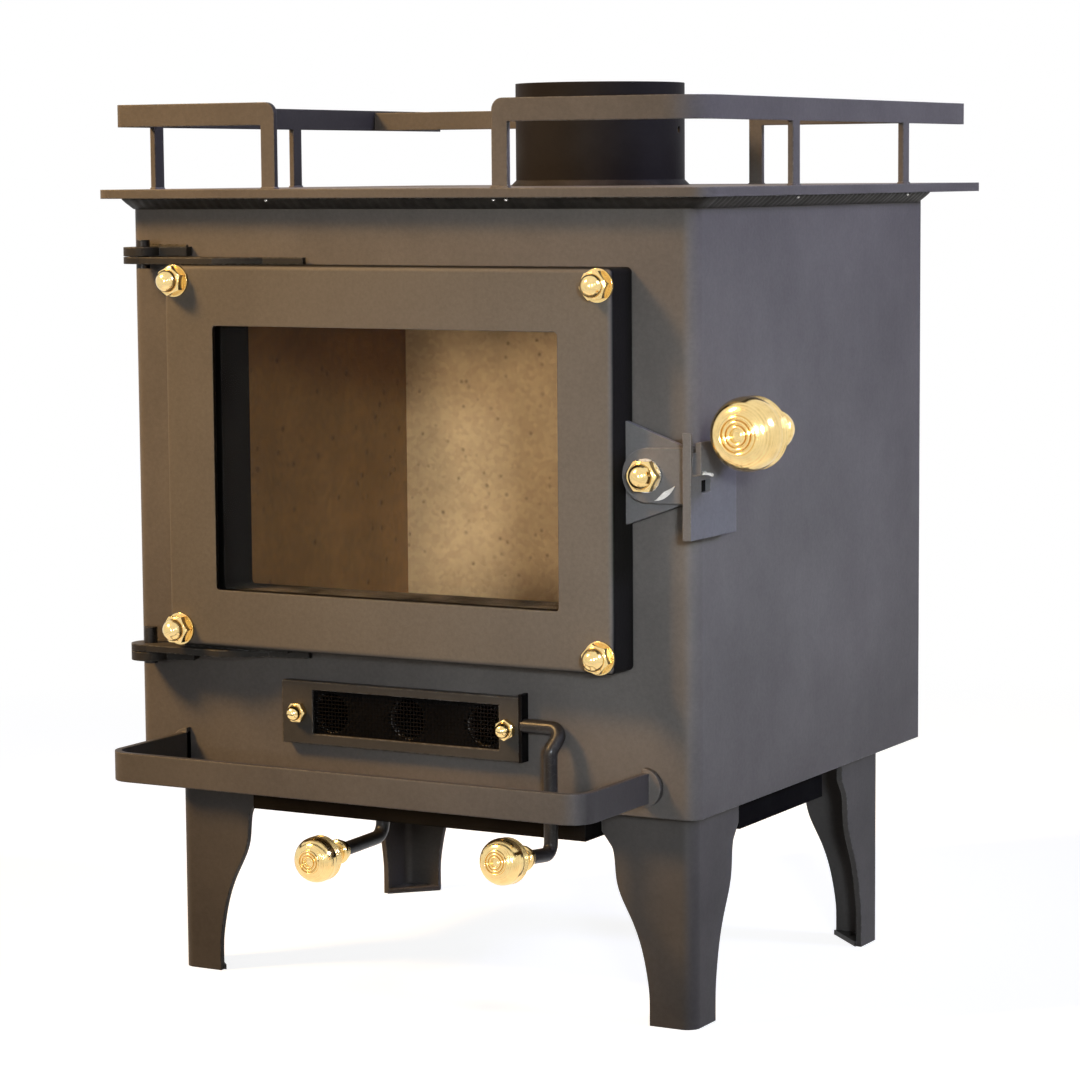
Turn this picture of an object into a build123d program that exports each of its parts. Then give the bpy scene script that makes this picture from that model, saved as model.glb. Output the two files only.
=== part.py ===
from build123d import *
import math
import os

# Millimetres, Z up. The origin is the middle of the floor bolt pattern, on the floor.
# Distances called BACK run from the front face of the body towards the rear.

# Body
BODY_W = 280.0
BODY_D = 236.0
BODY_Z = (93.2, 349.5)
SHEET = 3.0
BODY_BEND = 6.5
HEARTH_UP = 42.8
HEARTH_T = 2.5
WELD_OUT = 6.5
WELD_TIP = 0.8
WELD_H = 4.7
SIDE_X = BODY_W / 2
HEARTH_Z = BODY_Z[0] + HEARTH_UP

# Legs and floor bolts
LEG_SIDE_IN = 9.7
LEG_FRONT_IN = 16.7
LEG_REAR_IN = 23.0
LEG_SHEET = 2.7
LEG_BEND = 6.0
LEG_TOP_W = 43.5
LEG_SHOULDER_Z = 82.0
LEG_CURVE = ((38.6, 75.5), (36.4, 61.0), (29.6, 45.5), (24.1, 31.0), (21.4, 17.0), (20.9, 0.0))
FOOT_T = 2.3
FOOT_LEG_W = 22.0
FLOOR_BOLT_R = 2.75
FLOOR_BOLT_IN = 5.5
LEG_SPAN_X = BODY_W - 2 * LEG_SIDE_IN
LEG_SPAN_Y = BODY_D - LEG_FRONT_IN - LEG_REAR_IN
FRONT_Y = -(LEG_SPAN_Y / 2 + LEG_FRONT_IN)

# Fire lining and air path
LINING_T = 13.0
LINING_FRONT = 15.0
LINING_AIR_GAP = 11.0
FLOOR_LINING_T = 10.0
BAFFLE_T = 12.0
BAFFLE_FRONT = 70.0
SMOKE_GAP = 21.5
LINING_TOP_Z = BODY_Z[1] - SMOKE_GAP - BAFFLE_T
DUCT_W = 120.0
DUCT_SHEET = 1.5
GRATE_SIZE = (130.0, 96.0)
GRATE_CENTRE_BACK = 108.0
GRATE_T = 9.0
GRATE_SLOT = (7.0, 78.0)
GRATE_SLOTS = 8
GRATE_PITCH = 14.0
GRATE_GAP = 1.0
HEARTH_PORT = (108.0, 78.0)

# Door, window and door opening
DOOR_IN_X = (31.0, 28.5)
DOOR_IN_Z = (61.45, 28.4)
DOOR_X = (DOOR_IN_X[0] - SIDE_X, SIDE_X - DOOR_IN_X[1])
DOOR_Z = (BODY_Z[0] + DOOR_IN_Z[0], BODY_Z[1] - DOOR_IN_Z[1])
DOOR_PROUD = 18.8
DOOR_GAP = 1.0
DOOR_SHEET = 2.0
DOOR_BEND = 2.25
WINDOW_IN_X = (25.2, 25.3)
WINDOW_IN_Z = (25.05, 26.3)
WINDOW_X = (DOOR_X[0] + WINDOW_IN_X[0], DOOR_X[1] - WINDOW_IN_X[1])
WINDOW_Z = (DOOR_Z[0] + WINDOW_IN_Z[0], DOOR_Z[1] - WINDOW_IN_Z[1])
WINDOW_CORNER = 1.6
GLASS_T = 4.0
GLASS_LAP = 8.0
TAPE_T = 1.0
TAPE_SET_BACK = 1.5
RETAINER_T = 2.0
RETAINER_CLEAR = 0.3
RETAINER_RIM = 1.0
SLEEVE_T = 2.0
SLEEVE_BACK = 9.7
ROPE_W = 9.0
ROPE_GAP = 0.3
ROPE_OUT = 1.5
ROPE_CORNER = 24.0
ROPE_ROUND = 3.0
OPENING_MARGIN = 1.5
FRAME_T = 3.0
FRAME_D = 14.0
DOOR_BOLT_IN = (6.05, 7.0)
BOLT_R = 2.5
BOLT_HEAD = (3.9, 2.5)
BOLT_END = 6.5
WASHER = (7.0, 1.2)
FIT = 0.08

# Domed nuts: width across the flats, height of the hexagon, radius of the dome, length
DOOR_NUT = (11.2, 4.2, 5.0, 9.6)
LATCH_NUT = (11.2, 4.2, 5.0, 9.0)
AIR_NUT = (8.0, 2.8, 3.4, 7.0)

# Hinges, with lengths along X measured from the left edge of the door
HINGE_OUT = 16.8
HINGE_X = DOOR_X[0] - HINGE_OUT
HINGE_BACK = -10.0
PIN_R = 3.0
EYE_R = 8.6
STRAP_T = 3.0
STRAP_END = (44.0, 63.0)
STRAP_WIDE = 25.0
STRAP_BOW = 1.2
STRAP_BACK = (-18.0, -2.0)
STRAP_TIP_BACK = -7.0
LOW_STRAP_DROP = 1.75
LOW_PAD = (3.0, 57.0)
LOW_PAD_BACK = (-12.0, -3.0)
LUG_T = 4.0
LUG_END = 2.4
LUG_GAP = 0.3
TOP_PIN_PROUD = (2.1, 3.1)
LOW_PIN_PROUD = (1.7, 7.1)

# Latch, handle rod and catch pin
LATCH_OUT = 11.2
LATCH_X = DOOR_X[1] + LATCH_OUT
LATCH_Z = 236.7
LATCH_GAP = 0.15
LATCH_BOLT_R = 3.0
BRACKET_BACK = (-7.0, -4.0)
BRACKET_IN = 2.8
BRACKET_ROOT_Z = (215.7, 258.4)
BRACKET_TIP_Z = (225.0, 249.0)
LATCH_BOLT_HEAD = (5.0, 2.8)
ARM_EYE_R = 11.2
ARM_TIP_Z = (225.5, 248.5)
CHEEK_GAP = 3.0
CHEEK_T = 3.7
CHEEK_X = (SIDE_X + CHEEK_GAP, SIDE_X + CHEEK_GAP + CHEEK_T)
CHEEK_BACK = (-18.0, 24.0)
CHEEK_BAR_W = 4.0
CHEEK_NOTCH_BACK = -4.0
CHEEK_Z = (211.6, 255.2)
CHEEK_NOTCH_Z = 237.6
CHEEK_REAR_Z = 246.5
GROOVE_WALL = 1.1
GROOVE_FLOOR_X = CHEEK_X[1] - GROOVE_WALL
GROOVE_BACK = (0.6, 8.0)
GROOVE_Z = (222.5, 236.4)
GROOVE_EXIT_Z = 232.9
WITNESS_BACK = (-3.2, 7.4)
WITNESS_Z = (229.8, 236.2)
CATCH_BACK = 4.3
CATCH_Z = 233.0
CATCH_R = 3.0
CATCH_TIP_GAP = 0.4
HANDLE_R = 4.0
HANDLE_ROOT = (17.0, 240.0)
HANDLE_OUT = 28.3
HANDLE_BEND = (CHEEK_X[1] + HANDLE_OUT, 36.0, 255.5)
HANDLE_BEND_R = 6.0
DOOR_KNOB_R = 17.5
DOOR_KNOB_L = 50.0
DOOR_KNOB_FRONT = -28.5

# Turned knobs: shares of the radius and of the length from the front end
KNOB_FACE = ((0.0, 0.025), (0.26, 0.025), (0.30, 0.0), (0.46, 0.0), (0.50, 0.03), (0.56, 0.03))
KNOB_BELLY = ((0.56, 0.03), (0.86, 0.10), (1.0, 0.27), (0.88, 0.45), (0.60, 0.66), (0.44, 0.82))
KNOB_NECK = ((0.44, 0.82), (0.52, 0.85), (0.52, 0.90), (0.44, 0.93), (0.44, 1.0), (0.0, 1.0), (0.0, 0.025))

# Front air control
AIR_UP = 33.0
AIR_Z = BODY_Z[0] + AIR_UP
AIR_HOLE_R = 9.0
AIR_HOLES_X = (-36.6, 2.1, 40.8)
AIR_FRAME_X = (-59.4, 59.2)
AIR_FRAME_H = 27.4
AIR_FRAME_Z = (AIR_Z - AIR_FRAME_H / 2, AIR_Z + AIR_FRAME_H / 2)
AIR_FRAME_PROUD = 5.2
AIR_FRAME_T = 1.5
AIR_WINDOW_X = (-43.8, 49.6)
AIR_WINDOW_IN_Z = (4.5, 3.5)
AIR_WINDOW_Z = (AIR_FRAME_Z[0] + AIR_WINDOW_IN_Z[0], AIR_FRAME_Z[1] - AIR_WINDOW_IN_Z[1])
AIR_STUD_X = (-51.2, 53.4)
AIR_STUD_OUT = 4.4
AIR_STUD_R = 2.0
MESH_T = 0.8
MESH_STEP = 3.4
MESH_IN = 2.0
MESH_WIRE = 0.9
SLIDER_T = 1.6
SLIDER_GAP = 0.3
SLIDER_X = (AIR_FRAME_X[0] + MESH_IN, AIR_FRAME_X[1] + SLIDER_GAP + SLIDER_T)
SLIDER_TRAVEL = 20.0
SLIDER_TAB_OUT = 1.7
SLIDER_TAB_PROUD = 14.0
SMALL_ROD_R = 3.0
SMALL_BEND_R = 6.0
AIR_ROD_UP = 4.4
AIR_ROD_OUT = 15.9
AIR_ROD_X = SLIDER_X[1] + AIR_ROD_OUT
AIR_ROD_BACK = -10.0
AIR_ELBOW_DROP = 51.3
AIR_KNOB_TILT = 6.0
KNOB_STEM = 11.5
SMALL_KNOB_R = 11.25
SMALL_KNOB_L = 36.5

# Tray and air control under the floor
TRAY_H = 14.7
TRAY_Z = BODY_Z[0] - TRAY_H
TRAY_SHEET = 1.5
TRAY_LEG_GAP = 2.8
TRAY_NARROW_X = LEG_SPAN_X / 2 - LEG_TOP_W - TRAY_LEG_GAP
TRAY_NARROW_BACK = (7.5, 168.0)
TRAY_SIDE_IN = 10.0
TRAY_WIDE_X = SIDE_X - TRAY_SIDE_IN
TRAY_WIDE_BACK = (62.0, 148.0)
PORT_R = 8.0
PORT_XS = (-50.0, -15.0, 20.0)
PORT_BACK = 60.0
DAMPER_T = 1.6
DAMPER_MARGIN = 11.0
DAMPER_TRAVEL = 18.0
DAMPER_FRONT = 9.5
LOW_ROD_X = -15.0
LOW_ROD_BACK = 12.4
LOW_ELBOW_DROP = 7.3
LOW_STEM = 36.0
LOW_KNOB_TILT = 3.0
GUIDE_STUD_R = 2.5
GUIDE_STUD_BACK = 96.0
GUIDE_STUD_DROP = 3.0
BASE_PORT = (100.0, 24.0)
BASE_PORT_BACK = 108.0

# Ash lip
LIP_IN_X = (24.8, 20.5)
LIP_X = (LIP_IN_X[0] - SIDE_X, SIDE_X - LIP_IN_X[1])
LIP_UP = 6.5
LIP_H = 12.6
LIP_Z = (BODY_Z[0] + LIP_UP, BODY_Z[0] + LIP_UP + LIP_H)
LIP_DEPTH = 60.5
LIP_T = 3.0
LIP_BEND = 11.0
EAR_W = 9.0
EAR_H = 16.0

# Top plate, flue collar and rail
TOP_OVER_SIDE = 11.4
TOP_OVER_FRONT = 11.2
TOP_OVER_REAR = 44.0
TOP_T = 4.0
TOP_CORNER = 8.0
TOP_X = SIDE_X + TOP_OVER_SIDE
TOP_BACK = (-TOP_OVER_FRONT, BODY_D + TOP_OVER_REAR)
PLATE_Z = BODY_Z[1] + TOP_T
FLUE_BACK = 182.5
FLUE_BORE = 76.4
FLUE_WALL = 1.5
FLUE_H = 47.5
FLUE_WELD = 2.5
FLUE_SCREW_R = 1.6
FLUE_SCREW_UP = 25.7
FLUE_SCREW_TURN = 5.0
RAIL_T = 4.0
RAIL_UP = 27.4
RAIL_H = 9.8
RAIL_BACK_H = 8.8
RAIL_SIDE_IN = 6.3
RAIL_FRONT_IN = 7.8
RAIL_REAR_IN = 4.0
RAIL_X = TOP_X - RAIL_SIDE_IN
RAIL_Z = (PLATE_Z + RAIL_UP, PLATE_Z + RAIL_UP + RAIL_H)
RAIL_FRONT = TOP_BACK[0] + RAIL_FRONT_IN
RAIL_END_BACK = TOP_BACK[1] - RAIL_REAR_IN
RAIL_CROSS_BACK = 212.0
RAIL_LEFT_BEND = 4.5
RAIL_RIGHT_BEND = 18.0
RAIL_END_ROUND = 5.0
FRONT_POSTS_X = ((-67.5, -58.7), (47.2, 56.2))
LEFT_POSTS_BACK = (28.6, 142.0)
RIGHT_POSTS_BACK = (84.7, 203.0)
SIDE_POST_W = 10.4
BACK_POSTS_X = ((-58.5, -50.0), (63.0, 71.5))


def back(distance):
    """Y of a distance measured back from the front face of the body."""
    return FRONT_Y + distance


def block(x, y, z):
    """Box between the two values given for each axis."""
    size = (x[1] - x[0], y[1] - y[0], z[1] - z[0])
    centre = (sum(x) / 2, sum(y) / 2, sum(z) / 2)
    return Pos(*centre) * Box(*size)


def rod_x(x, y, z, radius):
    """Cylinder along X between two values of X."""
    return Pos(sum(x) / 2, y, z) * Rot(0, 90, 0) * Cylinder(radius, x[1] - x[0])


def rod_y(x, y, z, radius):
    """Cylinder along Y between two values of Y."""
    return Pos(x, sum(y) / 2, z) * Rot(90, 0, 0) * Cylinder(radius, y[1] - y[0])


def rod_z(x, y, z, radius):
    """Cylinder along Z between two values of Z."""
    return Pos(x, y, sum(z) / 2) * Cylinder(radius, z[1] - z[0])


def front_panel(x, z, y, corner):
    """Upright plate with rounded corners, as seen from the front."""
    outline = RectangleRounded(x[1] - x[0], z[1] - z[0], corner)
    placed = Pos(sum(x) / 2, y[1], sum(z) / 2) * Rot(90, 0, 0) * outline
    return extrude(placed, amount=y[1] - y[0])


def prism(points, vector):
    """Solid swept from a flat outline along a vector."""
    return extrude(make_face(Polyline(*points, close=True)), amount=vector.length, dir=vector)


def grown(pair, amount):
    """Widens a pair of limits by the same amount at both ends."""
    return (pair[0] - amount, pair[1] + amount)


def bent_rod(points, radius, bend):
    """Round bar along a path with rounded corners."""
    path = FilletPolyline(*points, radius=bend)
    profile = Plane(origin=path @ 0, z_dir=path % 0) * Circle(radius)
    return sweep(profile, path=path)


def body_outline(inset):
    """Plan of the wrapped front and sides, square at the rear."""
    half = BODY_W / 2 - inset
    front, rear = back(inset), back(BODY_D)
    face = make_face(Polyline((-half, front), (half, front), (half, rear), (-half, rear), close=True))
    return fillet(face.vertices().sort_by(Axis.Y)[:2], BODY_BEND - inset)


def opening_limits():
    """Limits in X and Z of the door opening, set by the rope that closes on it."""
    inset = DOOR_SHEET + ROPE_OUT + ROPE_W + OPENING_MARGIN
    return grown(DOOR_X, -inset), grown(DOOR_Z, -inset)


def opening_corner():
    """Corner radius of the door opening."""
    return ROPE_CORNER - ROPE_W - OPENING_MARGIN


def bolt_places():
    """Centres in X and Z of the four door bolts."""
    in_x, in_z = DOOR_BOLT_IN
    return [(x, z) for x in grown(DOOR_X, -in_x) for z in grown(DOOR_Z, -in_z)]


def inner_plan(z, thickness):
    """Level plate that fills the body between the sides and the back panel."""
    plate = extrude(Pos(0, 0, z) * body_outline(SHEET), amount=thickness)
    panel_y = (back(BODY_D - SHEET), back(BODY_D))
    return plate - block((-BODY_W, BODY_W), panel_y, (z, z + thickness))


def body_shell():
    """Front and sides bent from one sheet, with the door and air openings."""
    height = BODY_Z[1] - BODY_Z[0]
    shell = extrude(Pos(0, 0, BODY_Z[0]) * body_outline(0), amount=height)
    shell -= extrude(Pos(0, 0, BODY_Z[0]) * body_outline(SHEET), amount=height)
    open_x, open_z = opening_limits()
    shell -= front_panel(open_x, open_z, (back(-SHEET), back(2 * SHEET)), opening_corner())
    for x in AIR_HOLES_X:
        shell -= rod_y(x, (back(-SHEET), back(2 * SHEET)), AIR_Z, AIR_HOLE_R)
    return shell


def back_panel():
    """Flat rear panel between the sides."""
    half = BODY_W / 2 - SHEET
    return block((-half, half), (back(BODY_D - SHEET), back(BODY_D)), BODY_Z)


def base_plate():
    """Bottom of the body with the port that feeds the air duct."""
    plate = inner_plan(BODY_Z[0], SHEET)
    port_x = (-BASE_PORT[0] / 2, BASE_PORT[0] / 2)
    port_y = (back(BASE_PORT_BACK), back(BASE_PORT_BACK + BASE_PORT[1]))
    return plate - block(port_x, port_y, grown(BODY_Z, SHEET))


def grate_limits(margin):
    """Limits in X and Y of the grate opening, widened by a margin."""
    half_x, half_y = GRATE_SIZE[0] / 2, GRATE_SIZE[1] / 2
    mid_y = back(GRATE_CENTRE_BACK)
    return grown((-half_x, half_x), margin), grown((mid_y - half_y, mid_y + half_y), margin)


def hearth_plate():
    """Plate under the fire, open below the grate."""
    plate = inner_plan(HEARTH_Z, HEARTH_T)
    mid_y = back(GRATE_CENTRE_BACK)
    port_x = (-HEARTH_PORT[0] / 2, HEARTH_PORT[0] / 2)
    port_y = (mid_y - HEARTH_PORT[1] / 2, mid_y + HEARTH_PORT[1] / 2)
    return plate - block(port_x, port_y, grown((HEARTH_Z, HEARTH_Z + HEARTH_T), SHEET))


def fire_grate():
    """Cast grate with a row of slots."""
    x, y = grate_limits(0)
    bottom = HEARTH_Z + HEARTH_T
    grate = block(x, y, (bottom, bottom + GRATE_T))
    mid_y = sum(y) / 2
    first = -(GRATE_SLOTS - 1) / 2 * GRATE_PITCH
    for index in range(GRATE_SLOTS):
        slot = SlotOverall(GRATE_SLOT[1], GRATE_SLOT[0], rotation=90)
        place = Pos(first + index * GRATE_PITCH, mid_y, bottom)
        grate -= extrude(place * slot, amount=GRATE_T)
    return grate


def floor_lining():
    """Board round the grate."""
    half = BODY_W / 2 - SHEET
    bottom = HEARTH_Z + HEARTH_T
    z = (bottom, bottom + FLOOR_LINING_T)
    x, y = grate_limits(GRATE_GAP)
    rear = BODY_D - SHEET - LINING_AIR_GAP
    board = block((-half, half), (back(LINING_FRONT), back(rear)), z)
    return board - block(x, y, z)


def lining_back_limits():
    """Front and rear distances of the back lining."""
    rear = BODY_D - SHEET - LINING_AIR_GAP
    return rear - LINING_T, rear


def lining_z():
    """Limits in Z of the wall linings."""
    return HEARTH_Z + HEARTH_T + FLOOR_LINING_T, LINING_TOP_Z


def side_lining(side):
    """Wall lining beside the fire, side is -1 for left and 1 for right."""
    outer = BODY_W / 2 - SHEET
    x = sorted((side * outer, side * (outer - LINING_T)))
    return block(x, (back(LINING_FRONT), back(lining_back_limits()[1])), lining_z())


def lining_back():
    """Wall lining behind the fire."""
    half = BODY_W / 2 - SHEET - LINING_T
    front, rear = lining_back_limits()
    return block((-half, half), (back(front), back(rear)), lining_z())


def baffle():
    """Board that rests on the linings and turns the smoke forward."""
    half = BODY_W / 2 - SHEET
    z = (LINING_TOP_Z, LINING_TOP_Z + BAFFLE_T)
    return block((-half, half), (back(BAFFLE_FRONT), back(lining_back_limits()[1])), z)


def air_duct():
    """Folded channel behind the back lining, open towards the back panel."""
    front = lining_back_limits()[1]
    rear = BODY_D - SHEET
    z = (HEARTH_Z + HEARTH_T, LINING_TOP_Z + BAFFLE_T)
    x = (-DUCT_W / 2, DUCT_W / 2)
    duct = block(x, (back(front), back(rear)), z)
    return duct - block(grown(x, -DUCT_SHEET), (back(front + DUCT_SHEET), back(rear)), z)


def opening_frame():
    """Flat bar frame that lines the door opening."""
    open_x, open_z = opening_limits()
    y = (back(0), back(FRAME_D))
    outer = front_panel(open_x, open_z, y, opening_corner())
    inner_x, inner_z = grown(open_x, -FRAME_T), grown(open_z, -FRAME_T)
    return outer - front_panel(inner_x, inner_z, y, opening_corner() - FRAME_T)


def top_weld():
    """Bead between the body and the underside of the top plate."""
    low = Pos(0, 0, BODY_Z[1] - WELD_H) * bead_outline(WELD_TIP)
    high = Pos(0, 0, BODY_Z[1]) * bead_outline(WELD_OUT)
    bead = loft([low.face(), high.face()])
    core = extrude(Pos(0, 0, BODY_Z[1] - WELD_H) * body_outline(0), amount=WELD_H)
    return bead - core


def bead_outline(out):
    """Plan of the body grown by a distance, square at the rear."""
    x = BODY_W / 2 + out
    depth = BODY_D + 2 * out
    face = Pos(0, back(BODY_D / 2)) * Rectangle(2 * x, depth)
    return fillet(face.vertices().sort_by(Axis.Y)[:2], BODY_BEND + out)


def top_plate():
    """Cooking plate with the flue hole and rounded front corners."""
    depth = TOP_BACK[1] - TOP_BACK[0]
    outline = Pos(0, back(sum(TOP_BACK) / 2)) * Rectangle(2 * TOP_X, depth)
    outline = fillet(outline.vertices().sort_by(Axis.Y)[:2], TOP_CORNER)
    plate = extrude(Pos(0, 0, BODY_Z[1]) * outline, amount=TOP_T)
    return plate - rod_z(0, back(FLUE_BACK), grown((BODY_Z[1], PLATE_Z), SHEET), FLUE_BORE / 2)


def flue_collar():
    """Tube for the flue pipe with its foot weld and one screw hole."""
    inner = FLUE_BORE / 2
    outer = inner + FLUE_WALL
    points = [
        (inner, PLATE_Z),
        (outer + FLUE_WELD, PLATE_Z),
        (outer, PLATE_Z + FLUE_WELD),
        (outer, PLATE_Z + FLUE_H),
        (inner, PLATE_Z + FLUE_H),
    ]
    section = make_face(Polyline(*[(x, 0, z) for x, z in points], close=True))
    collar = revolve(section, Axis.Z)
    screw = rod_x((inner - SHEET, outer + SHEET), 0, PLATE_Z + FLUE_SCREW_UP, FLUE_SCREW_R)
    return Pos(0, back(FLUE_BACK), 0) * (collar - Rot(0, 0, FLUE_SCREW_TURN) * screw)


def rail_side(side, front_post, side_posts, bend):
    """One side of the rail: a bent flat bar with its posts, cut from one strip."""
    x_out = side * RAIL_X
    start_x = front_post[1] if side < 0 else front_post[0]
    path = FilletPolyline(
        (start_x, back(RAIL_FRONT)), (x_out, back(RAIL_FRONT)), (x_out, back(RAIL_END_BACK)), radius=bend
    )
    inner = FilletPolyline(
        (start_x, back(RAIL_FRONT + RAIL_T)),
        (x_out - side * RAIL_T, back(RAIL_FRONT + RAIL_T)),
        (x_out - side * RAIL_T, back(RAIL_END_BACK)),
        radius=max(bend - RAIL_T, RAIL_LEFT_BEND - RAIL_T),
    )
    ends = [Line(path @ 0, inner @ 0), Line(path @ 1, inner @ 1)]
    plan = make_face([path, inner, *ends])
    strip = extrude(Pos(0, 0, PLATE_Z) * plan, amount=RAIL_UP + RAIL_H)
    for gap in rail_gaps(side, front_post, side_posts):
        strip -= gap
    top_edges = strip.edges().filter_by(Axis.Y).group_by(Axis.Z)[-1]
    corner = top_edges.sort_by(lambda edge: abs(edge.center().X - start_x))[0]
    return fillet(corner, RAIL_END_ROUND)


def rail_gaps(side, front_post, side_posts):
    """Openings between the posts of one side of the rail."""
    z = (PLATE_Z, RAIL_Z[0])
    limits = [RAIL_FRONT + RAIL_T]
    for place in side_posts:
        limits += [place - SIDE_POST_W / 2, place + SIDE_POST_W / 2]
    limits.append(RAIL_END_BACK)
    x = sorted((side * (RAIL_X - 2 * RAIL_T), side * (RAIL_X + RAIL_T)))
    gaps = []
    for first, last in zip(limits[::2], limits[1::2]):
        gaps.append(block(x, (back(first), back(last)), z))
    near = front_post[0] if side < 0 else front_post[1]
    front_x = sorted((near, side * (RAIL_X + RAIL_T)))
    gaps.append(block(front_x, (back(RAIL_FRONT - RAIL_T), back(RAIL_FRONT + 2 * RAIL_T)), z))
    corner_x = sorted((side * (RAIL_X - RAIL_RIGHT_BEND), side * (RAIL_X + RAIL_T)))
    gaps.append(block(corner_x, (back(RAIL_FRONT - RAIL_T), back(RAIL_FRONT + RAIL_RIGHT_BEND)), z))
    return gaps


def rail_cross(side, post):
    """Short bar across the rear of the rail with a post at its free end."""
    y = (back(RAIL_CROSS_BACK), back(RAIL_CROSS_BACK + RAIL_T))
    top = RAIL_Z[0] + RAIL_BACK_H
    reach = side * (RAIL_X - RAIL_T)
    inner = post[1] if side < 0 else post[0]
    bar = block(sorted((reach, inner)), y, (RAIL_Z[0], top))
    return bar + block(post, y, (PLATE_Z, RAIL_Z[0]))


def leg_outline():
    """Width of a leg flange against height, as points from the top down."""
    curve = Spline(*LEG_CURVE, tangents=[(-0.5, -1), (0, -1)])
    top = Polyline((LEG_TOP_W, LEG_SHOULDER_Z), (LEG_TOP_W, BODY_Z[0]), (0, BODY_Z[0]), (0, 0), LEG_CURVE[-1])
    shoulder = Line((LEG_TOP_W, LEG_SHOULDER_Z), LEG_CURVE[0])
    return make_face([curve, top, shoulder])


def leg(side_x, side_y):
    """Bent angle leg with its triangular foot plate, for one corner."""
    outline = leg_outline()
    upright = Rot(90, 0, 0) * outline
    front = extrude(upright, amount=LEG_TOP_W, dir=(0, 1, 0))
    side = extrude(Rot(0, 0, 90) * upright, amount=LEG_TOP_W, dir=(1, 0, 0))
    angle = corner_plan(0) - corner_plan(LEG_SHEET)
    bent = extrude(angle, amount=BODY_Z[0])
    shaped = (bent & front) & side
    foot = extrude(foot_plan(), amount=FOOT_T)
    centre = LEG_SHEET + FLOOR_BOLT_IN
    foot -= rod_z(centre, centre, grown((0, FOOT_T), SHEET), FLOOR_BOLT_R)
    whole = shaped + foot
    if side_x > 0:
        whole = mirror(whole, Plane.YZ)
    if side_y > 0:
        whole = mirror(whole, Plane.XZ)
    return Pos(side_x * LEG_SPAN_X / 2, side_y * LEG_SPAN_Y / 2, 0) * whole


def corner_plan(inset):
    """Plan of a leg corner, outer edges on the axes."""
    reach = LEG_TOP_W + SHEET
    square = Pos(inset + reach / 2, inset + reach / 2) * Rectangle(reach, reach)
    corner = square.vertices().sort_by(lambda v: v.X + v.Y)[0]
    return fillet(corner, LEG_BEND - inset)


def foot_plan():
    """Plan of the triangular foot plate inside a leg corner."""
    near, far = LEG_SHEET, FOOT_LEG_W
    face = make_face(Polyline((near, near), (far, near), (near, far), close=True))
    corner = face.vertices().sort_by(lambda v: v.X + v.Y)[0]
    return fillet(corner, LEG_BEND - LEG_SHEET)


def tray_plan(inset):
    """Plan of the tray under the floor: narrow between the legs, wide in the middle."""
    narrow_x, wide_x = TRAY_NARROW_X - inset, TRAY_WIDE_X - inset
    narrow = [back(v) for v in grown(TRAY_NARROW_BACK, -inset)]
    wide = [back(v) for v in grown(TRAY_WIDE_BACK, -inset)]
    strip = Pos(0, sum(narrow) / 2) * Rectangle(2 * narrow_x, narrow[1] - narrow[0])
    return strip + Pos(0, sum(wide) / 2) * Rectangle(2 * wide_x, wide[1] - wide[0])


def floor_tray():
    """Folded tray below the body with air ports and slots for the damper."""
    height = BODY_Z[0] - TRAY_Z
    tray = extrude(Pos(0, 0, TRAY_Z) * tray_plan(0), amount=height)
    tray -= extrude(Pos(0, 0, TRAY_Z + TRAY_SHEET) * tray_plan(TRAY_SHEET), amount=height)
    through = grown((TRAY_Z, TRAY_Z + TRAY_SHEET), TRAY_SHEET)
    for x in PORT_XS:
        tray -= rod_z(x, back(PORT_BACK), through, PORT_R)
    for radius, distance in ((SMALL_ROD_R, LOW_ROD_BACK), (GUIDE_STUD_R, GUIDE_STUD_BACK)):
        slot = SlotCenterToCenter(DAMPER_TRAVEL, 2 * (radius + SLIDER_GAP))
        place = Pos(LOW_ROD_X + DAMPER_TRAVEL / 2, back(distance), through[0])
        tray -= extrude(place * slot, amount=through[1] - through[0])
    return tray


def damper_bottom():
    """Height of the underside of the damper plate."""
    return TRAY_Z + TRAY_SHEET + SLIDER_GAP


def damper_plate():
    """Plate that slides on the tray and covers its ports, with one guide stud."""
    z = (damper_bottom(), damper_bottom() + DAMPER_T)
    x = (PORT_XS[0] - DAMPER_MARGIN - PORT_R, PORT_XS[-1] + DAMPER_MARGIN + PORT_R)
    y = (back(DAMPER_FRONT), back(GUIDE_STUD_BACK + DAMPER_MARGIN))
    plate = block(x, y, z)
    for port in PORT_XS:
        plate -= rod_z(port, back(PORT_BACK), grown(z, DAMPER_T), PORT_R)
    return plate + rod_z(LOW_ROD_X, back(GUIDE_STUD_BACK), (TRAY_Z - GUIDE_STUD_DROP, z[1]), GUIDE_STUD_R)


def knob_profile(radius, length):
    """Half section of a turned knob, front end at zero."""
    lines = (KNOB_FACE, KNOB_BELLY, KNOB_NECK)
    face, belly, neck = ([(r * radius, d * length) for r, d in line] for line in lines)
    return make_face([Polyline(*face), Spline(*belly), Polyline(*neck)])


def stem_end(elbow, length, tilt):
    """Free end of a rod that leaves its elbow forward and slightly upward."""
    angle = math.radians(tilt)
    return elbow[0], elbow[1] - length * math.cos(angle), elbow[2] + length * math.sin(angle)


def knob(radius, length, stem, tilt):
    """Turned knob on the end of a stem, facing forward and tilted up."""
    turned = revolve(knob_profile(radius, length), Axis.Y)
    return Pos(*stem) * Rot(-tilt, 0, 0) * Pos(0, -length, 0) * turned


def air_elbow():
    """Corner of the front air rod above its knob."""
    return AIR_ROD_X, back(AIR_ROD_BACK), AIR_Z - AIR_ELBOW_DROP


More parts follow.
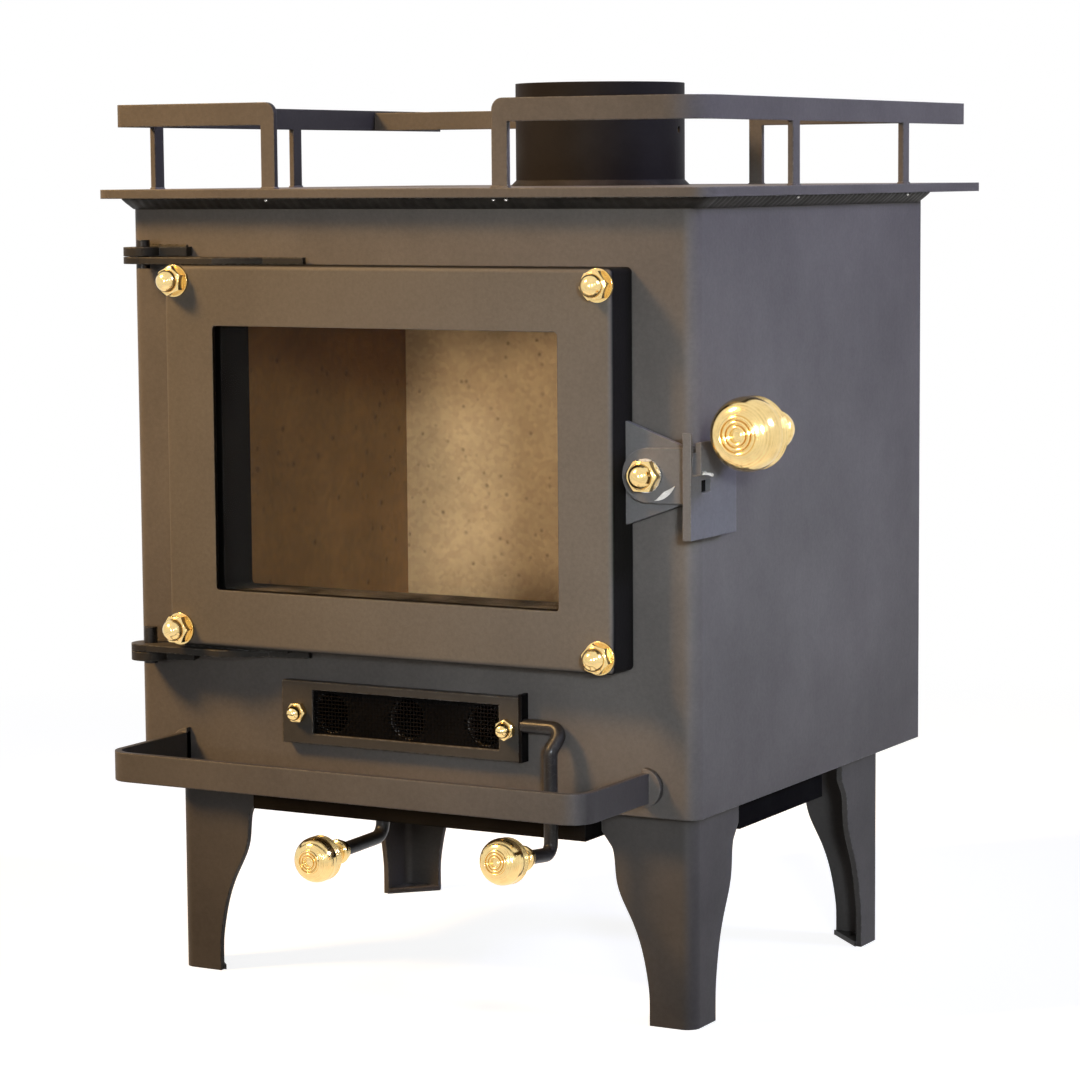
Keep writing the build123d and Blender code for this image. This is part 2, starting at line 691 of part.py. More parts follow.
def air_rod():
    """Rod from the slider tab out, down and forward to the knob."""
    elbow = air_elbow()
    start = (SLIDER_X[1], elbow[1], AIR_Z + AIR_ROD_UP)
    corner = (AIR_ROD_X, elbow[1], AIR_Z + AIR_ROD_UP)
    end = stem_end(elbow, KNOB_STEM, AIR_KNOB_TILT)
    return bent_rod([start, corner, elbow, end], SMALL_ROD_R, SMALL_BEND_R)


def air_knob():
    """Knob of the front air control."""
    end = stem_end(air_elbow(), KNOB_STEM, AIR_KNOB_TILT)
    return knob(SMALL_KNOB_R, SMALL_KNOB_L, end, AIR_KNOB_TILT)


def damper_elbow():
    """Corner of the rod under the floor."""
    return LOW_ROD_X, back(LOW_ROD_BACK), TRAY_Z - LOW_ELBOW_DROP


def damper_rod():
    """Rod from the damper plate down through the tray and forward to the knob."""
    elbow = damper_elbow()
    start = (elbow[0], elbow[1], damper_bottom())
    end = stem_end(elbow, LOW_STEM, LOW_KNOB_TILT)
    return bent_rod([start, elbow, end], SMALL_ROD_R, SMALL_BEND_R)


def damper_knob():
    """Knob of the air control under the floor."""
    end = stem_end(damper_elbow(), LOW_STEM, LOW_KNOB_TILT)
    return knob(SMALL_KNOB_R, SMALL_KNOB_L, end, LOW_KNOB_TILT)


def door_y():
    """Front face and rear edge of the door pan."""
    return back(-DOOR_PROUD), back(-DOOR_GAP)


def glass_y():
    """Front and rear faces of the glass."""
    front = door_y()[0] + DOOR_SHEET + TAPE_T
    return front, front + GLASS_T


def door_pan():
    """Folded door pan with the window opening."""
    front, rear = door_y()
    pan = block(DOOR_X, (front, rear), DOOR_Z)
    folded = pan.edges().filter_by(Axis.Y) + pan.faces().sort_by(Axis.Y)[0].edges()
    pan = fillet(folded, DOOR_BEND)
    hollow = block(grown(DOOR_X, -DOOR_SHEET), (front + DOOR_SHEET, rear), grown(DOOR_Z, -DOOR_SHEET))
    folded = hollow.edges().filter_by(Axis.Y) + hollow.faces().sort_by(Axis.Y)[0].edges()
    pan -= fillet(folded, DOOR_BEND - DOOR_SHEET)
    pan -= front_panel(WINDOW_X, WINDOW_Z, (front, front + DOOR_SHEET), WINDOW_CORNER)
    for x, z in bolt_places():
        pan -= rod_y(x, (front, front + DOOR_SHEET), z, BOLT_R + FIT)
    return pan


def window_glass():
    """Heat proof glass pane."""
    return front_panel(grown(WINDOW_X, GLASS_LAP), grown(WINDOW_Z, GLASS_LAP), glass_y(), WINDOW_CORNER)


def glass_tape():
    """Flat gasket between the door and the glass."""
    y = (door_y()[0] + DOOR_SHEET, glass_y()[0])
    outer = front_panel(grown(WINDOW_X, GLASS_LAP), grown(WINDOW_Z, GLASS_LAP), y, WINDOW_CORNER)
    inner_x, inner_z = grown(WINDOW_X, TAPE_SET_BACK), grown(WINDOW_Z, TAPE_SET_BACK)
    return outer - front_panel(inner_x, inner_z, y, WINDOW_CORNER)


def glass_retainer():
    """Plate that clamps the glass, with a forward rim and a sleeve into the firebox."""
    out = DOOR_SHEET + RETAINER_CLEAR
    x, z = grown(DOOR_X, -out), grown(DOOR_Z, -out)
    front, seat = door_y()[0] + DOOR_SHEET, glass_y()[1]
    plate = front_panel(x, z, (front, seat + RETAINER_T), WINDOW_CORNER)
    hollow_x, hollow_z = grown(x, -RETAINER_RIM), grown(z, -RETAINER_RIM)
    plate -= front_panel(hollow_x, hollow_z, (front, seat), WINDOW_CORNER)
    sleeve_x, sleeve_z = grown(WINDOW_X, SLEEVE_T), grown(WINDOW_Z, SLEEVE_T)
    plate += front_panel(sleeve_x, sleeve_z, (seat, back(SLEEVE_BACK)), WINDOW_CORNER + SLEEVE_T)
    plate -= front_panel(WINDOW_X, WINDOW_Z, (seat, back(SLEEVE_BACK)), WINDOW_CORNER)
    for x_bolt, z_bolt in bolt_places():
        plate -= rod_y(x_bolt, (seat, seat + RETAINER_T), z_bolt, BOLT_R + FIT)
    return plate


def door_rope():
    """Rope gasket that closes on the front of the body."""
    y = (glass_y()[1] + RETAINER_T, back(-ROPE_GAP))
    out = DOOR_SHEET + ROPE_OUT
    x, z = grown(DOOR_X, -out), grown(DOOR_Z, -out)
    rope = front_panel(x, z, y, ROPE_CORNER)
    rope -= front_panel(grown(x, -ROPE_W), grown(z, -ROPE_W), y, ROPE_CORNER - ROPE_W)
    ends = rope.faces().filter_by(Axis.Y)
    return fillet(ends.edges(), ROPE_ROUND)


def door_bolts():
    """Four bolts that hold the glass retainer, heads inside."""
    seat = glass_y()[1] + RETAINER_T
    tip = door_y()[0] - WASHER[1] - BOLT_END
    bolts = []
    for x, z in bolt_places():
        shank = rod_y(x, (tip, seat), z, BOLT_R)
        bolts.append(shank + rod_y(x, (seat, seat + BOLT_HEAD[1]), z, BOLT_HEAD[0]))
    return Compound(bolts)


def ring_washer(x, z, rear, bolt_r):
    """Washer on a bolt along Y, with its rear face at a given place."""
    disc = rod_y(x, (rear - WASHER[1], rear), z, WASHER[0])
    return disc - rod_y(x, (rear - WASHER[1], rear), z, bolt_r + FIT)


def door_washers():
    """Washers under the four door nuts."""
    return Compound([ring_washer(x, z, door_y()[0], BOLT_R) for x, z in bolt_places()])


def domed_nut(place, size, bolt_r, depth):
    """Domed nut on a bolt along Y, with its rear face at a given place."""
    across, hexagon_h, dome_r, length = size
    nut = extrude(RegularPolygon(across / 2, 6, major_radius=False), amount=hexagon_h)
    straight = length - dome_r
    dome = Pos(0, 0, straight / 2) * Cylinder(dome_r, straight) + Pos(0, 0, straight) * Sphere(dome_r)
    nut += dome & block((-across, across), (-across, across), (0, length))
    nut -= Pos(0, 0, depth / 2) * Cylinder(bolt_r + FIT, depth)
    return Pos(*place) * Rot(90, 0, 0) * nut


def door_nuts():
    """Four domed nuts on the door corners."""
    rear = door_y()[0] - WASHER[1]
    return Compound([domed_nut((x, rear, z), DOOR_NUT, BOLT_R, BOLT_END + FIT) for x, z in bolt_places()])


def strap_plan():
    """Plan of a hinge strap with its eye."""
    front, rear = (back(v) for v in STRAP_BACK)
    tip_y = back(STRAP_TIP_BACK)
    wide, shoulder, tip = (DOOR_X[0] + v for v in (STRAP_WIDE, *STRAP_END))
    middle = ((wide + shoulder) / 2, (front + tip_y) / 2 - STRAP_BOW)
    outline = [
        Line((HINGE_X, rear), (HINGE_X, front)),
        Line((HINGE_X, front), (wide, front)),
        ThreePointArc((wide, front), middle, (shoulder, tip_y)),
        Line((shoulder, tip_y), (tip, (tip_y + rear) / 2)),
        Line((tip, (tip_y + rear) / 2), (tip, rear)),
        Line((tip, rear), (HINGE_X, rear)),
    ]
    return make_face(outline) + Pos(HINGE_X, back(HINGE_BACK)) * Circle(EYE_R)


def strap(z):
    """Hinge strap between two heights, bored for the pin."""
    plate = extrude(Pos(0, 0, z[0]) * strap_plan(), amount=z[1] - z[0])
    return plate - rod_z(HINGE_X, back(HINGE_BACK), z, PIN_R + FIT)


def strap_z(top):
    """Heights of the top or bottom hinge strap."""
    if top:
        return DOOR_Z[1], DOOR_Z[1] + STRAP_T
    upper = DOOR_Z[0] - LOW_STRAP_DROP
    return upper - STRAP_T, upper


def hinge_strap_top():
    """Strap on the top edge of the door."""
    return strap(strap_z(True))


def hinge_strap_bottom():
    """Strap below the door, on a spacer that carries the door."""
    pad_x = tuple(DOOR_X[0] + v for v in LOW_PAD)
    pad_y = tuple(back(v) for v in LOW_PAD_BACK)
    return strap(strap_z(False)) + block(pad_x, pad_y, (strap_z(False)[1], DOOR_Z[0]))


def lug(z):
    """Hinge lug on the front of the body, bored for the pin."""
    pin_y, near = back(HINGE_BACK), back(-EYE_R / 2)
    left, right, end = HINGE_X - EYE_R, HINGE_X + EYE_R, DOOR_X[0] + LUG_END
    points = [(left, pin_y), (right, pin_y), (end, near), (end, back(0)), (left, back(0))]
    plan = make_face(Polyline(*points, close=True)) + Pos(HINGE_X, pin_y) * Circle(EYE_R)
    plate = extrude(Pos(0, 0, z[0]) * plan, amount=z[1] - z[0])
    return plate - rod_z(HINGE_X, pin_y, z, PIN_R + FIT)


def lug_z(top):
    """Heights of the top or bottom hinge lug."""
    if top:
        near = strap_z(True)[1] + LUG_GAP
        return near, near + LUG_T
    near = strap_z(False)[0] - LUG_GAP
    return near - LUG_T, near


def hinge_lug_top():
    """Lug above the top strap."""
    return lug(lug_z(True))


def hinge_lug_bottom():
    """Lug below the bottom strap."""
    return lug(lug_z(False))


def hinge_pin(z):
    """Hinge pin between two heights."""
    return rod_z(HINGE_X, back(HINGE_BACK), z, PIN_R)


def hinge_pin_top():
    """Pin through the top strap and lug."""
    return hinge_pin((strap_z(True)[0] - TOP_PIN_PROUD[0], lug_z(True)[1] + TOP_PIN_PROUD[1]))


def hinge_pin_bottom():
    """Pin through the bottom lug and strap."""
    return hinge_pin((lug_z(False)[0] - LOW_PIN_PROUD[0], strap_z(False)[1] + LOW_PIN_PROUD[1]))


def latch_bracket():
    """Plate on the side of the door that carries the latch."""
    y = back(BRACKET_BACK[0])
    root, tip = DOOR_X[1], SIDE_X - BRACKET_IN
    points = [
        (root, y, BRACKET_ROOT_Z[0]),
        (tip, y, BRACKET_TIP_Z[0]),
        (tip, y, BRACKET_TIP_Z[1]),
        (root, y, BRACKET_ROOT_Z[1]),
    ]
    plate = prism(points, Vector(0, BRACKET_BACK[1] - BRACKET_BACK[0], 0))
    return plate - rod_y(LATCH_X, tuple(back(v) for v in BRACKET_BACK), LATCH_Z, LATCH_BOLT_R + FIT)


def arm_y():
    """Front and rear faces of the latch arm."""
    rear = back(BRACKET_BACK[0] - LATCH_GAP)
    return rear - STRAP_T, rear


def latch_bolt():
    """Pivot bolt of the latch, head behind the bracket."""
    seat = back(BRACKET_BACK[1])
    tip = arm_y()[0] - LATCH_GAP - WASHER[1] - BOLT_END
    shank = rod_y(LATCH_X, (tip, seat), LATCH_Z, LATCH_BOLT_R)
    return shank + rod_y(LATCH_X, (seat, seat + LATCH_BOLT_HEAD[1]), LATCH_Z, LATCH_BOLT_HEAD[0])


def latch_washer():
    """Bright washer on the latch pivot."""
    return ring_washer(LATCH_X, LATCH_Z, arm_y()[0] - LATCH_GAP, LATCH_BOLT_R)


def latch_nut():
    """Domed nut on the latch pivot."""
    rear = arm_y()[0] - LATCH_GAP - WASHER[1]
    return domed_nut((LATCH_X, rear, LATCH_Z), LATCH_NUT, LATCH_BOLT_R, BOLT_END + FIT)


def latch_arm():
    """Drop shaped arm from the pivot to the side plate."""
    y = arm_y()
    centre = Vector(LATCH_X, LATCH_Z)
    tip_x = CHEEK_X[0]
    tangents = []
    for tip_z, side in ((ARM_TIP_Z[0], -1), (ARM_TIP_Z[1], 1)):
        reach = Vector(tip_x, tip_z) - centre
        angle = math.atan2(reach.Y, reach.X) + side * math.acos(ARM_EYE_R / reach.length)
        tangents.append((centre.X + ARM_EYE_R * math.cos(angle), centre.Y + ARM_EYE_R * math.sin(angle)))
    corners = [tangents[0], (tip_x, ARM_TIP_Z[0]), (tip_x, ARM_TIP_Z[1]), tangents[1]]
    arm = prism([(x, y[0], z) for x, z in corners], Vector(0, STRAP_T, 0))
    arm += rod_y(LATCH_X, y, LATCH_Z, ARM_EYE_R)
    return arm - rod_y(LATCH_X, y, LATCH_Z, LATCH_BOLT_R + FIT)


def latch_cheek():
    """Side plate of the latch with the groove that holds the catch pin."""
    front, rear = (back(v) for v in CHEEK_BACK)
    bar, notch = front + CHEEK_BAR_W, back(CHEEK_NOTCH_BACK)
    outline = [
        (front, CHEEK_Z[0]),
        (front, CHEEK_Z[1]),
        (bar, CHEEK_Z[1]),
        (bar, CHEEK_NOTCH_Z),
        (notch, CHEEK_NOTCH_Z),
        (notch, CHEEK_REAR_Z),
        (rear, CHEEK_REAR_Z),
        (rear, CHEEK_Z[0]),
    ]
    plate = prism([(CHEEK_X[0], y, z) for y, z in outline], Vector(CHEEK_X[1] - CHEEK_X[0], 0, 0))
    groove_x = (CHEEK_X[0], GROOVE_FLOOR_X)
    groove_y = tuple(back(v) for v in GROOVE_BACK)
    plate -= block(groove_x, groove_y, GROOVE_Z)
    plate -= block(groove_x, (groove_y[0], rear), (GROOVE_Z[0], GROOVE_EXIT_Z))
    return plate - block(CHEEK_X, tuple(back(v) for v in WITNESS_BACK), WITNESS_Z)


def catch_pin():
    """Pin on the side of the body that the latch hooks over."""
    return rod_x((SIDE_X, GROOVE_FLOOR_X - CATCH_TIP_GAP), back(CATCH_BACK), CATCH_Z, CATCH_R)


def handle_rod():
    """Rod from the latch side plate out to the door knob."""
    root = Vector(CHEEK_X[1], back(HANDLE_ROOT[0]), HANDLE_ROOT[1])
    corner = Vector(HANDLE_BEND[0], back(HANDLE_BEND[1]), HANDLE_BEND[2])
    end = Vector(corner.X, back(DOOR_KNOB_FRONT + DOOR_KNOB_L), corner.Z)
    start = root - (corner - root).normalized() * (2 * HANDLE_R)
    rod = bent_rod([start, corner, end], HANDLE_R, HANDLE_BEND_R)
    inside = block((0, CHEEK_X[1]), (root.Y - BODY_D, root.Y + BODY_D), BODY_Z)
    return rod - inside


def door_knob():
    """Large knob that lifts the latch and pulls the door."""
    end = (HANDLE_BEND[0], back(DOOR_KNOB_FRONT + DOOR_KNOB_L), HANDLE_BEND[2])
    return knob(DOOR_KNOB_R, DOOR_KNOB_L, end, 0)


def air_frame():
    """Channel on the body front that guides the slider and shows the mesh."""
    front = back(-AIR_FRAME_PROUD)
    channel = block(AIR_FRAME_X, (front, back(0)), AIR_FRAME_Z)
    channel -= block(AIR_FRAME_X, (front + AIR_FRAME_T, back(0)), grown(AIR_FRAME_Z, -AIR_FRAME_T))
    channel -= block(AIR_WINDOW_X, (front, back(0)), AIR_WINDOW_Z)
    for x in AIR_STUD_X:
        channel -= rod_y(x, (front, back(0)), AIR_Z, AIR_STUD_R + FIT)
    return channel


def air_studs():
    """Two studs on the body that hold the frame."""
    y = (back(-AIR_FRAME_PROUD - AIR_STUD_OUT), back(0))
    return Compound([rod_y(x, y, AIR_Z, AIR_STUD_R) for x in AIR_STUD_X])


def air_nuts():
    """Two domed nuts on the frame."""
    rear, depth = back(-AIR_FRAME_PROUD), AIR_STUD_OUT + FIT
    return Compound([domed_nut((x, rear, AIR_Z), AIR_NUT, AIR_STUD_R, depth) for x in AIR_STUD_X])


def air_mesh():
    """Spark mesh behind the frame."""
    front = back(-AIR_FRAME_PROUD) + AIR_FRAME_T
    y = (front, front + MESH_T)
    mesh = block(grown(AIR_FRAME_X, -MESH_IN), y, grown(AIR_FRAME_Z, -MESH_IN))
    hole = MESH_STEP - MESH_WIRE
    columns = int((AIR_WINDOW_X[1] - AIR_WINDOW_X[0]) // MESH_STEP)
    rows = int((AIR_WINDOW_Z[1] - AIR_WINDOW_Z[0]) // MESH_STEP)
    place = Pos(sum(AIR_WINDOW_X) / 2, y[1], sum(AIR_WINDOW_Z) / 2) * Rot(90, 0, 0)
    holes = place * GridLocations(MESH_STEP, MESH_STEP, columns, rows) * Rectangle(hole, hole)
    mesh -= [extrude(one, amount=MESH_T) for one in holes]
    for x in AIR_STUD_X:
        mesh -= rod_y(x, y, AIR_Z, AIR_STUD_R + SLIDER_GAP)
    return mesh


def air_slider():
    """Sliding plate with three air holes and a tab for its rod."""
    rear = back(-SLIDER_GAP)
    y = (rear - SLIDER_T, rear)
    tab_x = SLIDER_X[1] - SLIDER_T
    slider = block((SLIDER_X[0], tab_x), y, grown(AIR_FRAME_Z, -AIR_FRAME_T - SLIDER_GAP))
    for x in AIR_HOLES_X:
        slider -= rod_y(x, y, AIR_Z, AIR_HOLE_R)
    slot_r = AIR_STUD_R + SLIDER_GAP
    for x in AIR_STUD_X:
        slider -= block((x - SLIDER_TRAVEL - slot_r, x), y, grown((AIR_Z, AIR_Z), slot_r))
        slider -= rod_y(x, y, AIR_Z, slot_r)
    tab_z = (AIR_FRAME_Z[0], AIR_FRAME_Z[1] + SLIDER_TAB_OUT)
    return slider + block((tab_x, SLIDER_X[1]), (back(-SLIDER_TAB_PROUD), rear), tab_z)


def ash_lip():
    """Bent strip in front of the body with an ear at each end."""
    front = back(-LIP_DEPTH)
    outer = lip_plan(LIP_X, front, LIP_BEND)
    inner = lip_plan(grown(LIP_X, -LIP_T), front + LIP_T, LIP_BEND - LIP_T)
    strip = extrude(Pos(0, 0, LIP_Z[0]) * (outer - inner), amount=LIP_Z[1] - LIP_Z[0])
    for x, side in zip(LIP_X, (-1, 1)):
        strip += lip_ear(x, side)
    return strip


def lip_ear(x, side):
    """Rounded ear at one end of the ash lip, side is -1 for left and 1 for right."""
    y = (back(-LIP_T), back(0))
    middle = sum(LIP_Z) / 2
    inner, centre = x - side * LIP_T, x + side * (EAR_W - EAR_H / 2)
    ear = block(sorted((inner, centre)), y, grown((middle, middle), EAR_H / 2))
    ear += rod_y(centre, y, middle, EAR_H / 2)
    return ear & block(sorted((inner, x + side * EAR_W)), y, grown(LIP_Z, EAR_H))


def lip_plan(x, front, bend):
    """Plan of the ash lip out to one face, open at the body."""
    face = Pos(sum(x) / 2, (front + back(0)) / 2) * Rectangle(x[1] - x[0], back(0) - front)
    return fillet(face.vertices().sort_by(Axis.Y)[:2], bend)


def parts():
    """Every node with its solid."""
    return {
        "body_shell": body_shell(),
        "back_panel": back_panel(),
        "base_plate": base_plate(),
        "hearth_plate": hearth_plate(),
        "fire_grate": fire_grate(),
        "floor_lining": floor_lining(),
        "lining_left": side_lining(-1),
        "lining_right": side_lining(1),
        "lining_back": lining_back(),
        "baffle": baffle(),
        "air_duct": air_duct(),
        "opening_frame": opening_frame(),
        "top_weld": top_weld(),
        "top_plate": top_plate(),
        "flue_collar": flue_collar(),
        "rail_left": rail_side(-1, FRONT_POSTS_X[0], LEFT_POSTS_BACK, RAIL_LEFT_BEND),
        "rail_right": rail_side(1, FRONT_POSTS_X[1], RIGHT_POSTS_BACK, RAIL_RIGHT_BEND),
        "rail_cross_left": rail_cross(-1, BACK_POSTS_X[0]),
        "rail_cross_right": rail_cross(1, BACK_POSTS_X[1]),
        "leg_front_left": leg(-1, -1),
        "leg_front_right": leg(1, -1),
        "leg_rear_left": leg(-1, 1),
        "leg_rear_right": leg(1, 1),
        "floor_tray": floor_tray(),
        "ash_lip": ash_lip(),
        "door_pan": door_pan(),
        "window_glass": window_glass(),
        "glass_tape": glass_tape(),
        "glass_retainer": glass_retainer(),
        "door_rope": door_rope(),
        "door_bolts": door_bolts(),
        "door_washers": door_washers(),
        "door_nuts": door_nuts(),
        "hinge_strap_top": hinge_strap_top(),
        "hinge_strap_bottom": hinge_strap_bottom(),
        "hinge_lug_top": hinge_lug_top(),
        "hinge_lug_bottom": hinge_lug_bottom(),
        "hinge_pin_top": hinge_pin_top(),
        "hinge_pin_bottom": hinge_pin_bottom(),
        "latch_bracket": latch_bracket(),
        "latch_bolt": latch_bolt(),
        "latch_washer": latch_washer(),
        "latch_nut": latch_nut(),
        "latch_arm": latch_arm(),
        "latch_cheek": latch_cheek(),
        "catch_pin": catch_pin(),
        "handle_rod": handle_rod(),
        "door_knob": door_knob(),
        "air_frame": air_frame(),
        "air_mesh": air_mesh(),
        "air_studs": air_studs(),
        "air_nuts": air_nuts(),
        "air_slider": air_slider(),
        "air_rod": air_rod(),
        "air_knob": air_knob(),
        "damper_plate": damper_plate(),
        "damper_rod": damper_rod(),
        "damper_knob": damper_knob(),
    }


os.makedirs("parts", exist_ok=True)
for name, solid in parts().items():
    export_step(solid, f"parts/{name}.step")
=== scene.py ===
"""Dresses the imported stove: finishes, turned, woven and welded pieces, studio light and camera."""

import logging
import math
import random
from dataclasses import dataclass, field
from enum import Enum
from typing import Callable, ClassVar

import bmesh
import bpy
from mathutils import Matrix, Vector


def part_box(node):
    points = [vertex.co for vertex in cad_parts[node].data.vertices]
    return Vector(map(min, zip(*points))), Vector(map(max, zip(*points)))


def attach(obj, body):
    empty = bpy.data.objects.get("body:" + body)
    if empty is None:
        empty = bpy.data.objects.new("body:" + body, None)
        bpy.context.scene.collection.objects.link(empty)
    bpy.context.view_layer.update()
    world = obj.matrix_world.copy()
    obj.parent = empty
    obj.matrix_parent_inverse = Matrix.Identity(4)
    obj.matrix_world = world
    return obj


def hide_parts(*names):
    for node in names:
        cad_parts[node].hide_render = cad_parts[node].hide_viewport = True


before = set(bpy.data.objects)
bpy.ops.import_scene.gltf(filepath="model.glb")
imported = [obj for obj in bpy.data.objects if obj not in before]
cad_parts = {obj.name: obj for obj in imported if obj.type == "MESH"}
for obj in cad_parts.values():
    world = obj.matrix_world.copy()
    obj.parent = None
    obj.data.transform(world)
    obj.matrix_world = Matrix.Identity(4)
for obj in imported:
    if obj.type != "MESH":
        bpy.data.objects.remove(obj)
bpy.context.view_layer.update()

MM = 0.001
FRONT_Y = -114.85 * MM
Colour = tuple[float, float, float]
Section = list[tuple[float, float]]
LOG = logging.getLogger("stove")


def back(distance_mm: float) -> float:
    """Y in metres of a distance in millimetres measured back from the front of the body."""
    return FRONT_Y + distance_mm * MM


def spot(x_mm: float, depth_mm: float, z_mm: float) -> Vector:
    """Point from its distances in millimetres across, back from the front and up."""
    return Vector((x_mm * MM, back(depth_mm), z_mm * MM))


class Body(Enum):
    """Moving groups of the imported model."""

    STOVE = "stove_body"
    DOOR = "door"
    LATCH = "latch"
    AIR = "air_control"
    DAMPER = "floor_damper"


class Effect(Enum):
    """Surface effects that more than one finish shares."""

    SPRAY = "sprayed_coat"
    EDGE = "rubbed_edge"
    DUST = "settled_dust"
    LATHE = "lathe_lines"
    SCRATCH = "hair_scratches"
    SMUDGE = "wiped_smudges"
    SOOT = "soot_stain"


# Node wiring


class Graph:
    """Node tree of a material or a shared effect, with short calls to wire it."""

    def __init__(self, tree: bpy.types.NodeTree) -> None:
        """Keeps the tree that the calls work on."""
        self.tree = tree

    def feed(self, socket: bpy.types.NodeSocket, value: object) -> None:
        """Sets an input, or links it where the value is an output.

        Args:
            socket: Input socket.
            value: Output socket, number, or colour of three numbers.
        """
        if isinstance(value, bpy.types.NodeSocket):
            self.tree.links.new(value, socket)
        elif socket.type == "RGBA":
            socket.default_value = (*value, 1.0)
        else:
            socket.default_value = value

    def add(self, kind: str, sockets: dict[object, object], **settings: object) -> bpy.types.Node:
        """Adds one node.

        Args:
            kind: Node type without its ShaderNode prefix.
            sockets: Values or outputs for the inputs, by name or place.
            settings: Options of the node itself.

        Returns:
            The new node.
        """
        node = self.tree.nodes.new("ShaderNode" + kind)
        for key, value in settings.items():
            setattr(node, key, value)
        for key, value in sockets.items():
            self.feed(node.inputs[key], value)
        return node

    def noise(self, vector: object, scale: object, detail: float = 2.0,
              rough: float = 0.5) -> bpy.types.NodeSocket:
        """Cloud noise between 0 and 1.

        Args:
            vector: Where the noise is read.
            scale: Lumps per metre.
            detail: How many finer layers are added.
            rough: How strong the finer layers are.

        Returns:
            The noise.
        """
        sockets = {"Vector": vector, "Scale": scale, "Detail": detail, "Roughness": rough}
        return self.add("TexNoise", sockets).outputs[0]

    def span(self, value: object, low: float, high: float, to_low: float = 0.0,
             to_high: float = 1.0) -> bpy.types.NodeSocket:
        """Maps a value from one span to another, held at the ends.

        Args:
            value: Value to map.
            low: Start of the first span.
            high: End of the first span.
            to_low: Start of the second span.
            to_high: End of the second span.

        Returns:
            The mapped value.
        """
        places = {"Value": value, "From Min": low, "From Max": high, "To Min": to_low, "To Max": to_high}
        return self.add("MapRange", places).outputs[0]

    def sum(self, kind: str, first: object, second: object = 0.0) -> bpy.types.NodeSocket:
        """Math on two values, by the name of the operation."""
        return self.add("Math", {0: first, 1: second}, operation=kind).outputs[0]

    def stretch(self, vector: object, x: float, y: float, z: float) -> bpy.types.NodeSocket:
        """Scales a vector along its three axes.

        Args:
            vector: Vector to scale.
            x: Factor along X.
            y: Factor along Y.
            z: Factor along Z.

        Returns:
            The scaled vector.
        """
        node = self.add("VectorMath", {0: vector}, operation="MULTIPLY")
        node.inputs[1].default_value = (x, y, z)
        return node.outputs[0]

    def blend(self, factor: object, first: object, second: object) -> bpy.types.NodeSocket:
        """Mixes two colours.

        Args:
            factor: Share of the second colour.
            first: First colour.
            second: Second colour.

        Returns:
            The mixed colour.
        """
        node = self.add("Mix", {"Factor": factor}, data_type="RGBA")
        inputs = {socket.identifier: socket for socket in node.inputs}
        self.feed(inputs["A_Color"], first)
        self.feed(inputs["B_Color"], second)
        return next(socket for socket in node.outputs if socket.identifier == "Result_Color")

    def shade(self, colour: object, amount: object) -> bpy.types.NodeSocket:
        """Makes a colour lighter or darker by a factor."""
        return self.add("VectorMath", {0: colour, "Scale": amount}, operation="SCALE").outputs[0]

    def place(self) -> bpy.types.NodeSocket:
        """Coordinates of the piece itself, in metres."""
        return self.add("TexCoord", {}).outputs["Object"]

    def bump(self, height: object, depth: float, normal: object | None = None) -> bpy.types.NodeSocket:
        """Bends a normal by a height.

        Args:
            height: Height between 0 and 1.
            depth: What a full step of the height stands for, in metres.
            normal: Normal to bend, or None for the surface's own.

        Returns:
            The bent normal.
        """
        node = self.add("Bump", {"Height": height, "Distance": depth, "Strength": 1.0})
        if normal is not None:
            self.feed(node.inputs["Normal"], normal)
        return node.outputs[0]

    def effect(self, kind: Effect, **sockets: object) -> bpy.types.NodeSocketVirtual:
        """Places a shared effect.

        Args:
            kind: Which effect.
            sockets: Its inputs, with spaces in their names written as underscores.

        Returns:
            The outputs of the effect, by name.
        """
        node = self.add("Group", {}, node_tree=SharedEffects.get(kind))
        for key, value in sockets.items():
            self.feed(node.inputs[key.replace("_", " ")], value)
        return node.outputs


